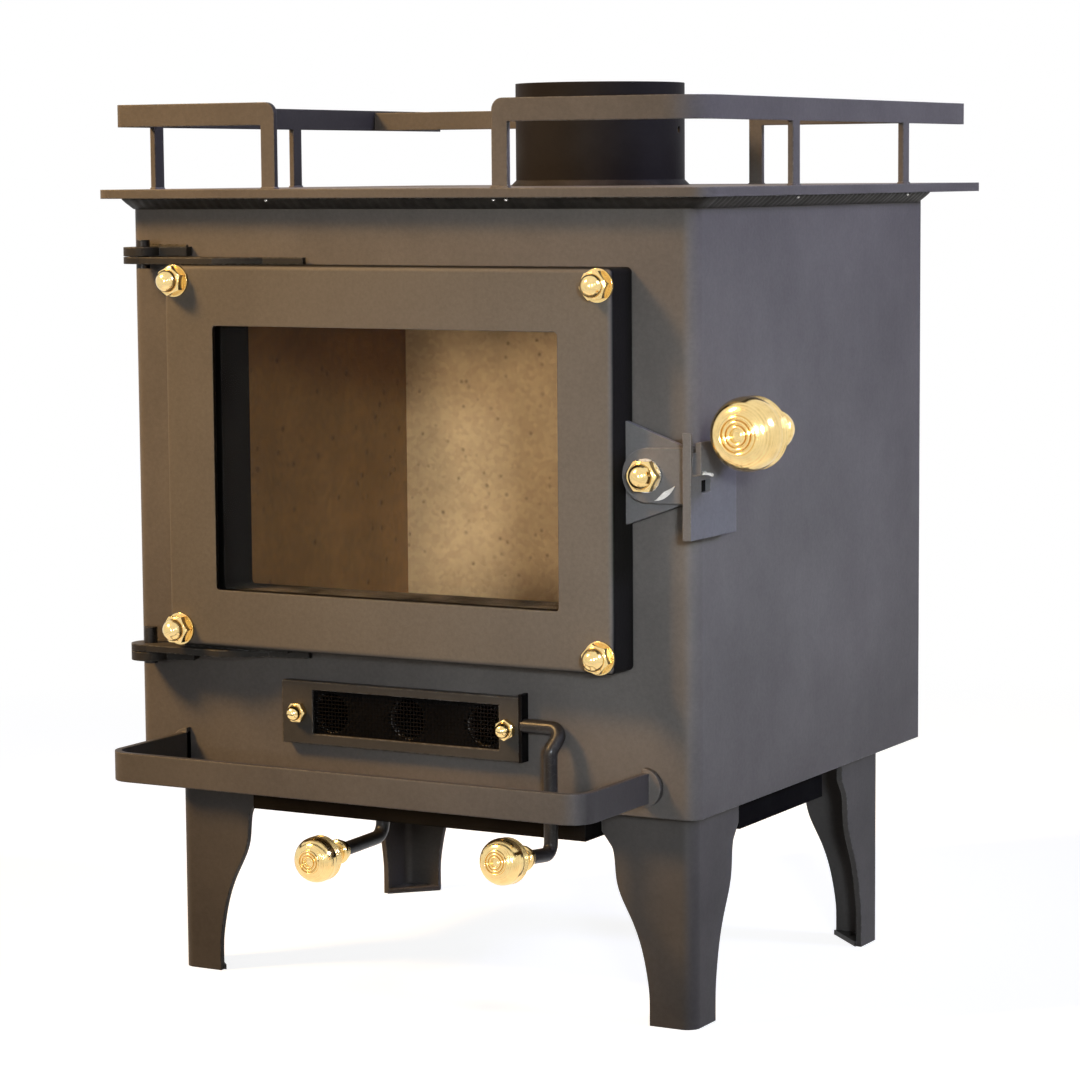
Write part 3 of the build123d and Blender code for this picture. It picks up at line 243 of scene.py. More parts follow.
class SharedEffects:
    """Shader groups, each built once and placed in every material that uses it."""

    built: dict[Effect, bpy.types.NodeTree] = {}
    scaled: dict[str, str] = {"Vector": "Vector", "Scale": "Float"}
    masked: dict[str, str] = {"Mask": "Float"}
    run_share: float = 0.12
    run_stretch: float = 0.16
    cloud_limits: tuple[float, float] = (0.36, 0.64)
    bevel_samples: int = 6
    scratch_turn: float = math.radians(37.0)
    scratch_width: float = 0.012
    soot_wander: float = 0.018

    @classmethod
    def get(cls, kind: Effect) -> bpy.types.NodeTree:
        """Gives the group of an effect, built on its first use.

        Args:
            kind: Which effect.

        Returns:
            The node group.
        """
        if kind not in cls.built:
            recipes: dict[Effect, Callable[[], bpy.types.NodeTree]] = {
                Effect.SPRAY: cls.sprayed_coat,
                Effect.EDGE: cls.rubbed_edge,
                Effect.DUST: cls.settled_dust,
                Effect.LATHE: cls.lathe_lines,
                Effect.SCRATCH: cls.hair_scratches,
                Effect.SMUDGE: cls.wiped_smudges,
                Effect.SOOT: cls.soot_stain,
            }
            cls.built[kind] = recipes[kind]()
        return cls.built[kind]

    @staticmethod
    def start(kind: Effect, inputs: dict[str, str], outputs: dict[str, str]) -> tuple[Graph, object, object]:
        """Opens a new group with named sockets.

        Args:
            kind: Effect whose name the group takes.
            inputs: Input names with their socket types.
            outputs: Output names with their socket types.

        Returns:
            The graph, the group's inputs as outputs to link from, and its outputs as inputs to feed.
        """
        tree = bpy.data.node_groups.new(kind.value, "ShaderNodeTree")
        for names, side in ((inputs, "INPUT"), (outputs, "OUTPUT")):
            for name, shape in names.items():
                tree.interface.new_socket(name, in_out=side, socket_type="NodeSocket" + shape)
        source = tree.nodes.new("NodeGroupInput")
        target = tree.nodes.new("NodeGroupOutput")
        return Graph(tree), source.outputs, target.inputs

    @classmethod
    def sprayed_coat(cls) -> bpy.types.NodeTree:
        """Matt sprayed paint: cloudy tone, fine sandy grain and very faint runs.

        Returns:
            The node group.
        """
        inputs = {"Vector": "Vector", "Light": "Color", "Dark": "Color", "Patch": "Float", "Grain": "Float"}
        outputs = {"Colour": "Color", "Roughness": "Float", "Height": "Float"}
        graph, given, wanted = cls.start(Effect.SPRAY, inputs, outputs)
        patch = graph.noise(given["Vector"], given["Patch"], 4.0, 0.6)
        runs = graph.noise(graph.stretch(given["Vector"], 1.0, 1.0, cls.run_stretch), 55.0, 3.0, 0.6)
        run_part = graph.sum("MULTIPLY", runs, cls.run_share)
        cloud = graph.sum("ADD", run_part, graph.sum("MULTIPLY", patch, 1.0 - cls.run_share))
        grain = graph.noise(given["Vector"], given["Grain"], 2.0, 0.7)
        fleck = graph.noise(given["Vector"], graph.sum("MULTIPLY", given["Grain"], 0.37), 1.0)
        tone = graph.blend(graph.span(cloud, *cls.cloud_limits), given["Dark"], given["Light"])
        speck = graph.span(graph.sum("ADD", grain, fleck), 0.7, 1.3, 0.93, 1.07)
        graph.feed(wanted["Colour"], graph.shade(tone, speck))
        graph.feed(wanted["Roughness"], graph.span(cloud, *cls.cloud_limits, 0.56, 0.46))
        graph.feed(wanted["Height"], graph.sum("ADD", grain, fleck))
        return graph.tree

    @classmethod
    def rubbed_edge(cls) -> bpy.types.NodeTree:
        """Rounded edge normal and a broken mask where handling rubs an edge.

        Returns:
            The node group.
        """
        inputs = {"Vector": "Vector", "Radius": "Float", "Break": "Float"}
        outputs = {"Mask": "Float", "Normal": "Vector"}
        graph, given, wanted = cls.start(Effect.EDGE, inputs, outputs)
        rounded = graph.add("Bevel", {"Radius": given["Radius"]}, samples=cls.bevel_samples).outputs[0]
        plain = graph.add("NewGeometry", {}).outputs["Normal"]
        alike = graph.add("VectorMath", {0: rounded, 1: plain}, operation="DOT_PRODUCT").outputs["Value"]
        turned = graph.span(alike, 0.995, 0.86)
        broken = graph.span(graph.noise(given["Vector"], given["Break"], 4.0, 0.65), 0.42, 0.62)
        graph.feed(wanted["Mask"], graph.sum("MULTIPLY", turned, broken))
        graph.feed(wanted["Normal"], rounded)
        return graph.tree

    @classmethod
    def settled_dust(cls) -> bpy.types.NodeTree:
        """Mask of thin dust on faces that look up.

        Returns:
            The node group.
        """
        graph, given, wanted = cls.start(Effect.DUST, cls.scaled, cls.masked)
        normal = graph.add("NewGeometry", {}).outputs["Normal"]
        upward = graph.span(graph.add("SeparateXYZ", {0: normal}).outputs["Z"], 0.5, 1.0)
        drift = graph.span(graph.noise(given["Vector"], given["Scale"], 5.0, 0.65), 0.35, 0.75)
        graph.feed(wanted["Mask"], graph.sum("MULTIPLY", upward, drift))
        return graph.tree

    @classmethod
    def lathe_lines(cls) -> bpy.types.NodeTree:
        """Fine rings round the local Z axis, as a turning tool leaves them.

        Returns:
            The node group.
        """
        inputs = {"Vector": "Vector", "Lines": "Float"}
        graph, given, wanted = cls.start(Effect.LATHE, inputs, {"Height": "Float", "Tone": "Float"})
        parts = graph.add("SeparateXYZ", {0: given["Vector"]}).outputs
        flat = graph.add("CombineXYZ", {"X": parts["X"], "Y": parts["Y"]}).outputs[0]
        radius = graph.add("VectorMath", {0: flat}, operation="LENGTH").outputs["Value"]
        along = graph.sum("ADD", parts["Z"], radius)
        sockets = {"W": along, "Scale": given["Lines"], "Detail": 3.0, "Roughness": 0.7}
        lines = graph.add("TexNoise", sockets, noise_dimensions="1D").outputs[0]
        stain = graph.span(graph.noise(given["Vector"], 260.0, 3.0, 0.6), 0.3, 0.7)
        graph.feed(wanted["Height"], lines)
        graph.feed(wanted["Tone"], graph.sum("MULTIPLY", graph.span(lines, 0.3, 0.7), stain))
        return graph.tree

    @classmethod
    def hair_scratches(cls) -> bpy.types.NodeTree:
        """Mask of thin scratches in two crossing directions.

        Returns:
            The node group.
        """
        graph, given, wanted = cls.start(Effect.SCRATCH, cls.scaled, cls.masked)
        masks = []
        directions = (((1.0, 1.0, 0.4), (40.0, 3.0, 40.0)), ((0.3, 1.0, 1.0), (4.0, 46.0, 30.0)))
        for axis, stretch in directions:
            sockets = {"Vector": given["Vector"], "Axis": axis, "Angle": cls.scratch_turn}
            turned = graph.add("VectorRotate", sockets).outputs[0]
            fine = graph.noise(graph.stretch(turned, *stretch), given["Scale"], 2.0, 0.5)
            off_line = graph.sum("ABSOLUTE", graph.sum("SUBTRACT", fine, 0.5))
            masks.append(graph.span(off_line, cls.scratch_width, 0.0))
        graph.feed(wanted["Mask"], graph.sum("MAXIMUM", *masks))
        return graph.tree

    @classmethod
    def wiped_smudges(cls) -> bpy.types.NodeTree:
        """Mask of soft wiped marks on a smooth pane or tube.

        Returns:
            The node group.
        """
        graph, given, wanted = cls.start(Effect.SMUDGE, cls.scaled, cls.masked)
        wiped = graph.noise(graph.stretch(given["Vector"], 0.6, 1.0, 1.7), given["Scale"], 5.0, 0.7)
        graph.feed(wanted["Mask"], graph.span(wiped, 0.42, 0.78))
        return graph.tree

    @classmethod
    def soot_stain(cls) -> bpy.types.NodeTree:
        """Mask of smoke stain that thickens between two heights.

        Returns:
            The node group.
        """
        inputs = {"Vector": "Vector", "Clean Z": "Float", "Black Z": "Float"}
        graph, given, wanted = cls.start(Effect.SOOT, inputs, cls.masked)
        height = graph.add("SeparateXYZ", {0: given["Vector"]}).outputs["Z"]
        cloud = graph.noise(given["Vector"], 26.0, 4.0, 0.6)
        level = graph.sum("ADD", height, graph.span(cloud, 0.3, 0.7, -cls.soot_wander, cls.soot_wander))
        places = {"Value": level, "From Min": given["Clean Z"], "From Max": given["Black Z"]}
        graph.feed(wanted["Mask"], graph.add("MapRange", places, interpolation_type="SMOOTHSTEP").outputs[0])
        return graph.tree


# Finishes


@dataclass(frozen=True)
class Finish:
    """A surface finish that knows how to wire its material."""

    name: str
    made: ClassVar[dict[str, bpy.types.Material]] = {}

    def wire(self, graph: Graph, shader: bpy.types.Node) -> None:
        """Wires the finish into a principled shader.

        Args:
            graph: Graph of the material.
            shader: Principled shader of the material.
        """
        raise NotImplementedError

    def material(self) -> bpy.types.Material:
        """Gives the material of the finish, made on its first use.

        Returns:
            The material.
        """
        if self.name not in self.made:
            fresh = bpy.data.materials.new(self.name)
            fresh.use_nodes = True
            self.wire(Graph(fresh.node_tree), fresh.node_tree.nodes["Principled BSDF"])
            self.made[self.name] = fresh
        return self.made[self.name]


@dataclass(frozen=True)
class PaintFinish(Finish):
    """Matt heat-proof paint on sheet steel."""

    light: Colour = (0.113, 0.101, 0.092)
    dark: Colour = (0.092, 0.082, 0.075)
    rubbed: Colour = (0.23, 0.22, 0.21)
    dust: Colour = (0.22, 0.20, 0.18)
    patch: float = 16.0
    grain: float = 1500.0
    grain_depth: float = 0.05 * MM
    edge: float = 0.9 * MM
    gloss: float = 0.12
    dust_share: float = 0.35
    worn_share: float = 0.55
    worn_polish: float = 0.2
    # Colour factor for faces that don't face front or back; below one it paints shade on them
    side_shade: float = 1.0

    def wire(self, graph: Graph, shader: bpy.types.Node) -> None:
        """Wires cloudy paint with rubbed edges, a little dust and, where side_shade is below one, painted
        shade on faces that don't face front or back.

        Args:
            graph: Graph of the material.
            shader: Principled shader of the material.
        """
        place = graph.place()
        coat = graph.effect(
            Effect.SPRAY, Vector=place, Light=self.light, Dark=self.dark, Patch=self.patch, Grain=self.grain
        )
        edge = graph.effect(Effect.EDGE, Vector=place, Radius=self.edge, Break=420.0)
        dust = graph.effect(Effect.DUST, Vector=place, Scale=38.0)["Mask"]
        dusty = graph.blend(graph.sum("MULTIPLY", dust, self.dust_share), coat["Colour"], self.dust)
        worn = graph.sum("MULTIPLY", edge["Mask"], self.worn_share)
        coloured = graph.blend(worn, dusty, self.rubbed)
        # Painted shade: faces whose own normal points little along Y (sides, top, bottom) are darkened down to
        # side_shade
        if self.side_shade < 1.0:
            normal = graph.add("TexCoord", {}).outputs["Normal"]
            facing = graph.add("SeparateXYZ", {0: normal}).outputs["Y"]
            frontal = graph.span(graph.sum("ABSOLUTE", facing), 0.45, 0.85, self.side_shade, 1.0)
            coloured = graph.shade(coloured, frontal)
        graph.feed(shader.inputs["Base Color"], coloured)
        polish = graph.sum("MULTIPLY", worn, self.worn_polish)
        graph.feed(shader.inputs["Roughness"], graph.sum("SUBTRACT", coat["Roughness"], polish))
        graph.feed(shader.inputs["Normal"], graph.bump(coat["Height"], self.grain_depth, edge["Normal"]))
        shader.inputs["Specular IOR Level"].default_value = self.gloss


@dataclass(frozen=True)
class BlackSteelFinish(Finish):
    """Oiled black steel rod or plate."""

    tone: Colour = (0.020, 0.018, 0.017)
    worn: Colour = (0.09, 0.085, 0.08)
    rough: tuple[float, float] = (0.28, 0.48)
    scratch_share: float = 0.3
    edge_share: float = 0.5

    def wire(self, graph: Graph, shader: bpy.types.Node) -> None:
        """Wires dark steel with smudges, scratches and rubbed edges.

        Args:
            graph: Graph of the material.
            shader: Principled shader of the material.
        """
        place = graph.place()
        smudge = graph.effect(Effect.SMUDGE, Vector=place, Scale=90.0)["Mask"]
        scratch = graph.effect(Effect.SCRATCH, Vector=place, Scale=6.0)["Mask"]
        edge = graph.effect(Effect.EDGE, Vector=place, Radius=0.5 * MM, Break=300.0)
        scratched = graph.sum("MULTIPLY", scratch, self.scratch_share)
        marks = graph.sum("MAXIMUM", scratched, graph.sum("MULTIPLY", edge["Mask"], self.edge_share))
        graph.feed(shader.inputs["Base Color"], graph.blend(marks, self.tone, self.worn))
        graph.feed(shader.inputs["Roughness"], graph.span(smudge, 0.0, 1.0, *self.rough))
        grain = graph.noise(place, 1800.0, 2.0)
        graph.feed(shader.inputs["Normal"], graph.bump(grain, 0.02 * MM, edge["Normal"]))
        shader.inputs["Specular IOR Level"].default_value = 0.2


@dataclass(frozen=True)
class BrassFinish(Finish):
    """Polished turned brass."""

    bright: Colour = (0.90, 0.68, 0.31)
    deep: Colour = (0.56, 0.33, 0.085)
    lines: float = 900.0
    line_depth: float = 0.035 * MM
    stain_share: float = 0.6
    rough: tuple[float, float] = (0.10, 0.24)
    scratch_rough: float = 0.12

    def wire(self, graph: Graph, shader: bpy.types.Node) -> None:
        """Wires polished brass with lathe lines, warm stain and hair scratches.

        Args:
            graph: Graph of the material.
            shader: Principled shader of the material.
        """
        place = graph.place()
        lathe = graph.effect(Effect.LATHE, Vector=place, Lines=self.lines)
        scratch = graph.effect(Effect.SCRATCH, Vector=place, Scale=9.0)["Mask"]
        edge = graph.effect(Effect.EDGE, Vector=place, Radius=0.25 * MM, Break=500.0)
        tone = graph.blend(graph.sum("MULTIPLY", lathe["Tone"], self.stain_share), self.bright, self.deep)
        graph.feed(shader.inputs["Base Color"], tone)
        turned = graph.span(lathe["Tone"], 0.0, 1.0, *self.rough)
        rough = graph.sum("ADD", turned, graph.sum("MULTIPLY", scratch, self.scratch_rough))
        graph.feed(shader.inputs["Roughness"], rough)
        graph.feed(shader.inputs["Normal"], graph.bump(lathe["Height"], self.line_depth, edge["Normal"]))
        shader.inputs["Metallic"].default_value = 1.0


@dataclass(frozen=True)
class BrightSteelFinish(Finish):
    """Bright plated or bare steel."""

    bright: Colour = (0.72, 0.71, 0.69)
    dull: Colour = (0.42, 0.40, 0.38)
    rough: tuple[float, float] = (0.2, 0.42)
    scratch_rough: float = 0.15

    def wire(self, graph: Graph, shader: bpy.types.Node) -> None:
        """Wires bright steel with dull patches and scratches.

        Args:
            graph: Graph of the material.
            shader: Principled shader of the material.
        """
        place = graph.place()
        smudge = graph.effect(Effect.SMUDGE, Vector=place, Scale=240.0)["Mask"]
        scratch = graph.effect(Effect.SCRATCH, Vector=place, Scale=10.0)["Mask"]
        edge = graph.effect(Effect.EDGE, Vector=place, Radius=0.2 * MM, Break=500.0)
        graph.feed(shader.inputs["Base Color"], graph.blend(smudge, self.bright, self.dull))
        patchy = graph.span(smudge, 0.0, 1.0, *self.rough)
        rough = graph.sum("ADD", patchy, graph.sum("MULTIPLY", scratch, self.scratch_rough))
        graph.feed(shader.inputs["Roughness"], rough)
        graph.feed(shader.inputs["Normal"], graph.bump(scratch, -0.01 * MM, edge["Normal"]))
        shader.inputs["Metallic"].default_value = 1.0


@dataclass(frozen=True)
class BoardFinish(Finish):
    """Pressed mineral board with flakes, pits and smoke stain."""

    pale: Colour = (0.60, 0.415, 0.215)
    middle: Colour = (0.50, 0.335, 0.168)
    fleck: Colour = (0.13, 0.075, 0.035)
    soot: Colour = (0.035, 0.026, 0.018)
    clean_z: float = 0.262
    black_z: float = 0.36
    spot_share: float = 0.85
    soot_share: float = 0.9

    def wire(self, graph: Graph, shader: bpy.types.Node) -> None:
        """Wires flaky board that darkens towards the smoke way.

        Args:
            graph: Graph of the material.
            shader: Principled shader of the material.
        """
        place = graph.place()
        cells = graph.add("TexVoronoi", {"Vector": place, "Scale": 420.0})
        chips = graph.add("TexVoronoi", {"Vector": place, "Scale": 230.0, "Randomness": 1.0})
        shade = graph.add("SeparateColor", {0: cells.outputs["Color"]}).outputs[0]
        rare = graph.add("SeparateColor", {0: chips.outputs["Color"]}).outputs[1]
        cloud = graph.noise(place, 24.0, 4.0, 0.6)
        base = graph.blend(graph.span(shade, 0.0, 1.0), self.middle, self.pale)
        base = graph.shade(base, graph.span(cloud, 0.3, 0.7, 0.84, 1.12))
        close = graph.span(chips.outputs["Distance"], 0.42, 0.22)
        spots = graph.sum("MULTIPLY", graph.span(rare, 0.88, 0.92), close)
        base = graph.blend(graph.sum("MULTIPLY", spots, self.spot_share), base, self.fleck)
        stain = graph.effect(Effect.SOOT, Vector=place, Clean_Z=self.clean_z, Black_Z=self.black_z)["Mask"]
        smoked = graph.sum("MULTIPLY", stain, self.soot_share)
        graph.feed(shader.inputs["Base Color"], graph.blend(smoked, base, self.soot))
        graph.feed(shader.inputs["Roughness"], graph.span(shade, 0.0, 1.0, 0.82, 0.95))
        depth = graph.sum("SUBTRACT", shade, graph.sum("MULTIPLY", spots, 2.0))
        graph.feed(shader.inputs["Normal"], graph.bump(depth, 0.12 * MM))


@dataclass(frozen=True)
class CastFinish(Finish):
    """Sand cast iron."""

    tone: Colour = (0.075, 0.070, 0.066)
    ash: Colour = (0.30, 0.28, 0.26)
    ash_share: float = 0.4

    def wire(self, graph: Graph, shader: bpy.types.Node) -> None:
        """Wires rough casting skin with a little ash on top.

        Args:
            graph: Graph of the material.
            shader: Principled shader of the material.
        """
        place = graph.place()
        skin = graph.noise(place, 900.0, 4.0, 0.7)
        ash = graph.effect(Effect.DUST, Vector=place, Scale=70.0)["Mask"]
        edge = graph.effect(Effect.EDGE, Vector=place, Radius=0.8 * MM, Break=260.0)
        base = graph.shade(self.tone, graph.span(skin, 0.3, 0.7, 0.7, 1.25))
        ashen = graph.sum("MULTIPLY", ash, self.ash_share)
        graph.feed(shader.inputs["Base Color"], graph.blend(ashen, base, self.ash))
        graph.feed(shader.inputs["Roughness"], graph.span(skin, 0.3, 0.7, 0.6, 0.85))
        graph.feed(shader.inputs["Normal"], graph.bump(skin, 0.25 * MM, edge["Normal"]))


@dataclass(frozen=True)
class FibreFinish(Finish):
    """Braided glass fibre."""

    tone: Colour = (0.085, 0.083, 0.080)
    lint: Colour = (0.26, 0.25, 0.24)

    def wire(self, graph: Graph, shader: bpy.types.Node) -> None:
        """Wires fibres with lint and soft sheen.

        Args:
            graph: Graph of the material.
            shader: Principled shader of the material.
        """
        place = graph.place()
        fibre = graph.noise(graph.stretch(place, 1.0, 2.4, 1.0), 1900.0, 3.0, 0.7)
        clump = graph.noise(place, 150.0, 3.0, 0.6)
        mask = graph.sum("MULTIPLY", graph.span(fibre, 0.45, 0.7), graph.span(clump, 0.35, 0.7))
        graph.feed(shader.inputs["Base Color"], graph.blend(mask, self.tone, self.lint))
        graph.feed(shader.inputs["Roughness"], graph.span(fibre, 0.3, 0.7, 0.8, 0.98))
        graph.feed(shader.inputs["Normal"], graph.bump(fibre, 0.2 * MM))
        shader.inputs["Sheen Weight"].default_value = 0.25


@dataclass(frozen=True)
class WireFinish(Finish):
    """Heat darkened woven wire."""

    tone: Colour = (0.006, 0.0055, 0.005)
    tint: Colour = (0.012, 0.010, 0.009)

    def wire(self, graph: Graph, shader: bpy.types.Node) -> None:
        """Wires dark wire with a brown heat tint.

        Args:
            graph: Graph of the material.
            shader: Principled shader of the material.
        """
        place = graph.place()
        heat = graph.effect(Effect.SMUDGE, Vector=place, Scale=60.0)["Mask"]
        fine = graph.noise(place, 2400.0, 2.0)
        graph.feed(shader.inputs["Base Color"], graph.blend(heat, self.tone, self.tint))
        graph.feed(shader.inputs["Roughness"], graph.span(fine, 0.3, 0.7, 0.38, 0.6))
        graph.feed(shader.inputs["Normal"], graph.bump(fine, 0.03 * MM))
        shader.inputs["Specular IOR Level"].default_value = 0.0


@dataclass(frozen=True)
class PaneFinish(Finish):
    """Clear heat-proof glass that lets lamp light through."""

    tint: Colour = (0.97, 0.96, 0.93)
    film: Colour = (0.80, 0.76, 0.69)
    film_share: float = 0.3
    index: float = 1.10
    through: Colour = (0.97, 0.96, 0.94)

    def wire(self, graph: Graph, shader: bpy.types.Node) -> None:
        """Wires clear glass with faint wiped marks.

        Args:
            graph: Graph of the material.
            shader: Principled shader of the material.
        """
        place = graph.place()
        smudge = graph.effect(Effect.SMUDGE, Vector=place, Scale=22.0)["Mask"]
        haze = graph.noise(place, 300.0, 3.0, 0.6)
        filmed = graph.sum("MULTIPLY", smudge, self.film_share)
        graph.feed(shader.inputs["Base Color"], graph.blend(filmed, self.tint, self.film))
        blur = graph.span(haze, 0.4, 0.7, 0.0, 0.03)
        graph.feed(shader.inputs["Roughness"], graph.sum("MULTIPLY", smudge, blur))
        graph.feed(shader.inputs["Normal"], graph.bump(graph.noise(place, 9.0, 1.0), 0.1 * MM))
        shader.inputs["Transmission Weight"].default_value = 1.0
        shader.inputs["IOR"].default_value = self.index
        clear = graph.add("BsdfTransparent", {"Color": self.through})
        shadow = graph.add("LightPath", {}).outputs["Is Shadow Ray"]
        both = graph.add("MixShader", {0: shadow, 1: shader.outputs[0], 2: clear.outputs[0]})
        end = next(node for node in graph.tree.nodes if node.type == "OUTPUT_MATERIAL")
        graph.feed(end.inputs["Surface"], both.outputs[0])


PAINT = PaintFinish("body_coat")
# Door paint; side_shade 0.06 paints near-black shade on the pan's top, bottom and side faces
DOOR_SIDE_SHADED_PAINT = PaintFinish(
    "door_side_shaded_coat", light=(0.122, 0.110, 0.097), dark=(0.106, 0.095, 0.084), patch=11.0, gloss=0.06,
    side_shade=0.06,
)
COLLAR_PAINT = PaintFinish(
    "collar_coat", light=(0.016, 0.014, 0.013), dark=(0.012, 0.010, 0.009), rubbed=(0.06, 0.055, 0.05),
    patch=30.0, gloss=0.03,
)
LATCH_PAINT = PaintFinish(
    "latch_coat", light=(0.128, 0.122, 0.121), dark=(0.110, 0.105, 0.104), rubbed=(0.30, 0.29, 0.28),
    edge=0.6 * MM,
)
# Legs: body paint darkened as painted shade under the body
LEG_SHADED_PAINT = PaintFinish("leg_shaded_coat", light=(0.080, 0.072, 0.066), dark=(0.060, 0.054, 0.050))
# Air frame: darker paint as painted shade under the door
FRAME_SHADED_PAINT = PaintFinish("frame_shaded_coat", light=(0.048, 0.043, 0.038), dark=(0.036, 0.033, 0.029), patch=60.0)
WELD_PAINT = PaintFinish("weld_coat", light=(0.040, 0.036, 0.032), dark=(0.018, 0.016, 0.014), patch=120.0)
# Rail paint with painted shade on its side faces, for the left rail whose inner face lies in shade
RAIL_SIDE_SHADED_PAINT = PaintFinish("rail_side_shaded_coat", side_shade=0.30)
# Lip paint with painted shade on the lip's side and inner faces
LIP_SIDE_SHADED_PAINT = PaintFinish(
    "lip_side_shaded_coat", light=(0.124, 0.111, 0.100), dark=(0.100, 0.090, 0.082), side_shade=0.45,
)
HINGE_PAINT = PaintFinish("hinge_coat", light=(0.028, 0.025, 0.021), dark=(0.018, 0.016, 0.014), patch=60.0)
UNDER_PAINT = PaintFinish(
    "under_coat", light=(0.012, 0.011, 0.010), dark=(0.007, 0.006, 0.006), rubbed=(0.03, 0.03, 0.03),
    patch=30.0, gloss=0.0,
)
BLACK_STEEL = BlackSteelFinish("oiled_steel")
BRASS = BrassFinish("turned_brass")
NUT_BRASS = BrassFinish("nut_brass", lines=1600.0, line_depth=0.02 * MM)
BRIGHT_STEEL = BrightSteelFinish("plated_steel")
BOARD = BoardFinish("pressed_board")
# Side linings: a darker copy of the board as painted shade on the linings that face across the firebox
SIDE_BOARD_SHADED = BoardFinish(
    "side_board_shaded", pale=(0.255, 0.135, 0.048), middle=(0.205, 0.107, 0.037), fleck=(0.12, 0.065, 0.026),
)
CAST_IRON = CastFinish("grate_iron")
FIBRE = FibreFinish("rope_fibre")
SPARK_WIRE = WireFinish("spark_wire")
PANE = PaneFinish("clear_pane")


# Mesh tools


class Shop:
    """Mesh work that the pieces share."""

    @staticmethod
    def ring_skin(rings: list[list[Vector]], closed_path: bool, capped: bool) -> bmesh.types.BMesh:
        """Skins rings of points that have the same count.

        Args:
            rings: Rings in order, each a list of points.
            closed_path: True where the last ring joins the first.
            capped: True where the two ends are closed by a face.

        Returns:
            The mesh.
        """
        mesh = bmesh.new()
        laid = [[mesh.verts.new(point) for point in ring] for ring in rings]
        pairs = list(zip(laid, laid[1:]))
        if closed_path:
            pairs.append((laid[-1], laid[0]))
        for near, far in pairs:
            count = len(near)
            for index in range(count):
                after = (index + 1) % count
                mesh.faces.new((near[index], near[after], far[after], far[index]))
        if capped:
            mesh.faces.new(list(reversed(laid[0])))
            mesh.faces.new(laid[-1])
        bmesh.ops.recalc_face_normals(mesh, faces=mesh.faces)
        return mesh

    @staticmethod
    def frames(path: list[Vector], closed: bool) -> list[tuple[Vector, Vector]]:
        """Two steady directions across a path at each of its points.

        Args:
            path: Points of the path.
            closed: True where the path returns to its start.

        Returns:
            A pair of unit vectors across the path for each point.
        """
        count = len(path)
        across = []
        side = None
        for index in range(count):
            before = path[index - 1] if closed or index else path[0]
            after = path[(index + 1) % count] if closed or index < count - 1 else path[-1]
            along = (after - before).normalized()
            if side is None:
                side = along.orthogonal().normalized()
                if abs(along.z) < 0.9:
                    side = along.cross(Vector((0, 0, 1))).normalized()
            side = (side - along * side.dot(along)).normalized()
            across.append((side, along.cross(side)))
        return across

    @classmethod
    def tube(cls, path: list[Vector], size: Callable[[float, float], tuple[float, float]], sides: int,
             closed: bool = False) -> bmesh.types.BMesh:
        """Sweeps a round or lumpy section along a path.

        Args:
            path: Points of the path.
            size: Half width and half height for a distance along the path and an angle round it.
            sides: Points round the section.
            closed: True where the path returns to its start.

        Returns:
            The mesh.
        """
        rings = []
        gone = 0.0
        for index, (point, (side, up)) in enumerate(zip(path, cls.frames(path, closed))):
            if index:
                gone += (point - path[index - 1]).length
            ring = []
            for step in range(sides):
                angle = 2 * math.pi * step / sides
                wide, high = size(gone, angle)
                ring.append(point + side * (math.cos(angle) * wide) + up * (math.sin(angle) * high))
            rings.append(ring)
        return cls.ring_skin(rings, closed, not closed)

    @classmethod
    def lathe(cls, section: Section, steps: int) -> bmesh.types.BMesh:
        """Turns a half section round the Z axis.

        Args:
            section: Radius and height of each point, from one end to the other.
            steps: Points round the axis.

        Returns:
            The mesh.
        """
        rings = []
        for radius, height in section:
            turn = [2 * math.pi * step / steps for step in range(steps)]
            rings.append([Vector((radius * math.cos(a), radius * math.sin(a), height)) for a in turn])
        return cls.ring_skin(rings, False, True)

    @staticmethod
    def rounded_loop(x: tuple[float, float], y: tuple[float, float], corner: float,
                     gap: float) -> list[Vector]:
        """Points round a rectangle with rounded corners, in the XY plane.

        Args:
            x: Limits along X.
            y: Limits along Y.
            corner: Corner radius.
            gap: Largest distance between points.

        Returns:
            Points of the closed loop.
        """
        centres = ((x[1] - corner, y[1] - corner), (x[0] + corner, y[1] - corner),
                   (x[0] + corner, y[0] + corner), (x[1] - corner, y[0] + corner))
        arc_steps = max(3, math.ceil(corner * math.pi / 2 / gap))
        corners = []
        for quarter, (cx, cy) in enumerate(centres):
            for step in range(arc_steps + 1):
                angle = math.pi / 2 * (quarter + step / arc_steps)
                corners.append(Vector((cx + corner * math.cos(angle), cy + corner * math.sin(angle), 0)))
        points = []
        for near, far in zip(corners, corners[1:] + corners[:1]):
            pieces = max(1, math.ceil((far - near).length / gap))
            points += [near.lerp(far, step / pieces) for step in range(pieces)]
        return points

    @staticmethod
    def rounded_path(points: list[Vector], bend: float, steps: int = 8) -> list[Vector]:
        """Straight runs joined by round corners.

        Args:
            points: Ends and corners of the path.
            bend: Corner radius.
            steps: Parts of each corner.

        Returns:
            Points of the path.
        """
        path = [points[0]]
        for before, corner, after in zip(points, points[1:], points[2:]):
            come, leave = (before - corner).normalized(), (after - corner).normalized()
            half = come.angle(leave) / 2
            centre = corner + (come + leave).normalized() * (bend / math.sin(half))
            reach = bend / math.tan(half)
            first = (corner + come * reach - centre).normalized()
            last = (corner + leave * reach - centre).normalized()
            path += [centre + first.slerp(last, step / steps) * bend for step in range(steps + 1)]
        return path + [points[-1]]

    @classmethod
    def rod(cls, points: list[Vector], radius: float, bend: float) -> bmesh.types.BMesh:
        """Round bar along straight runs with round corners."""
        return cls.tube(cls.rounded_path(points, bend), lambda _gone, _angle: (radius, radius), 24)

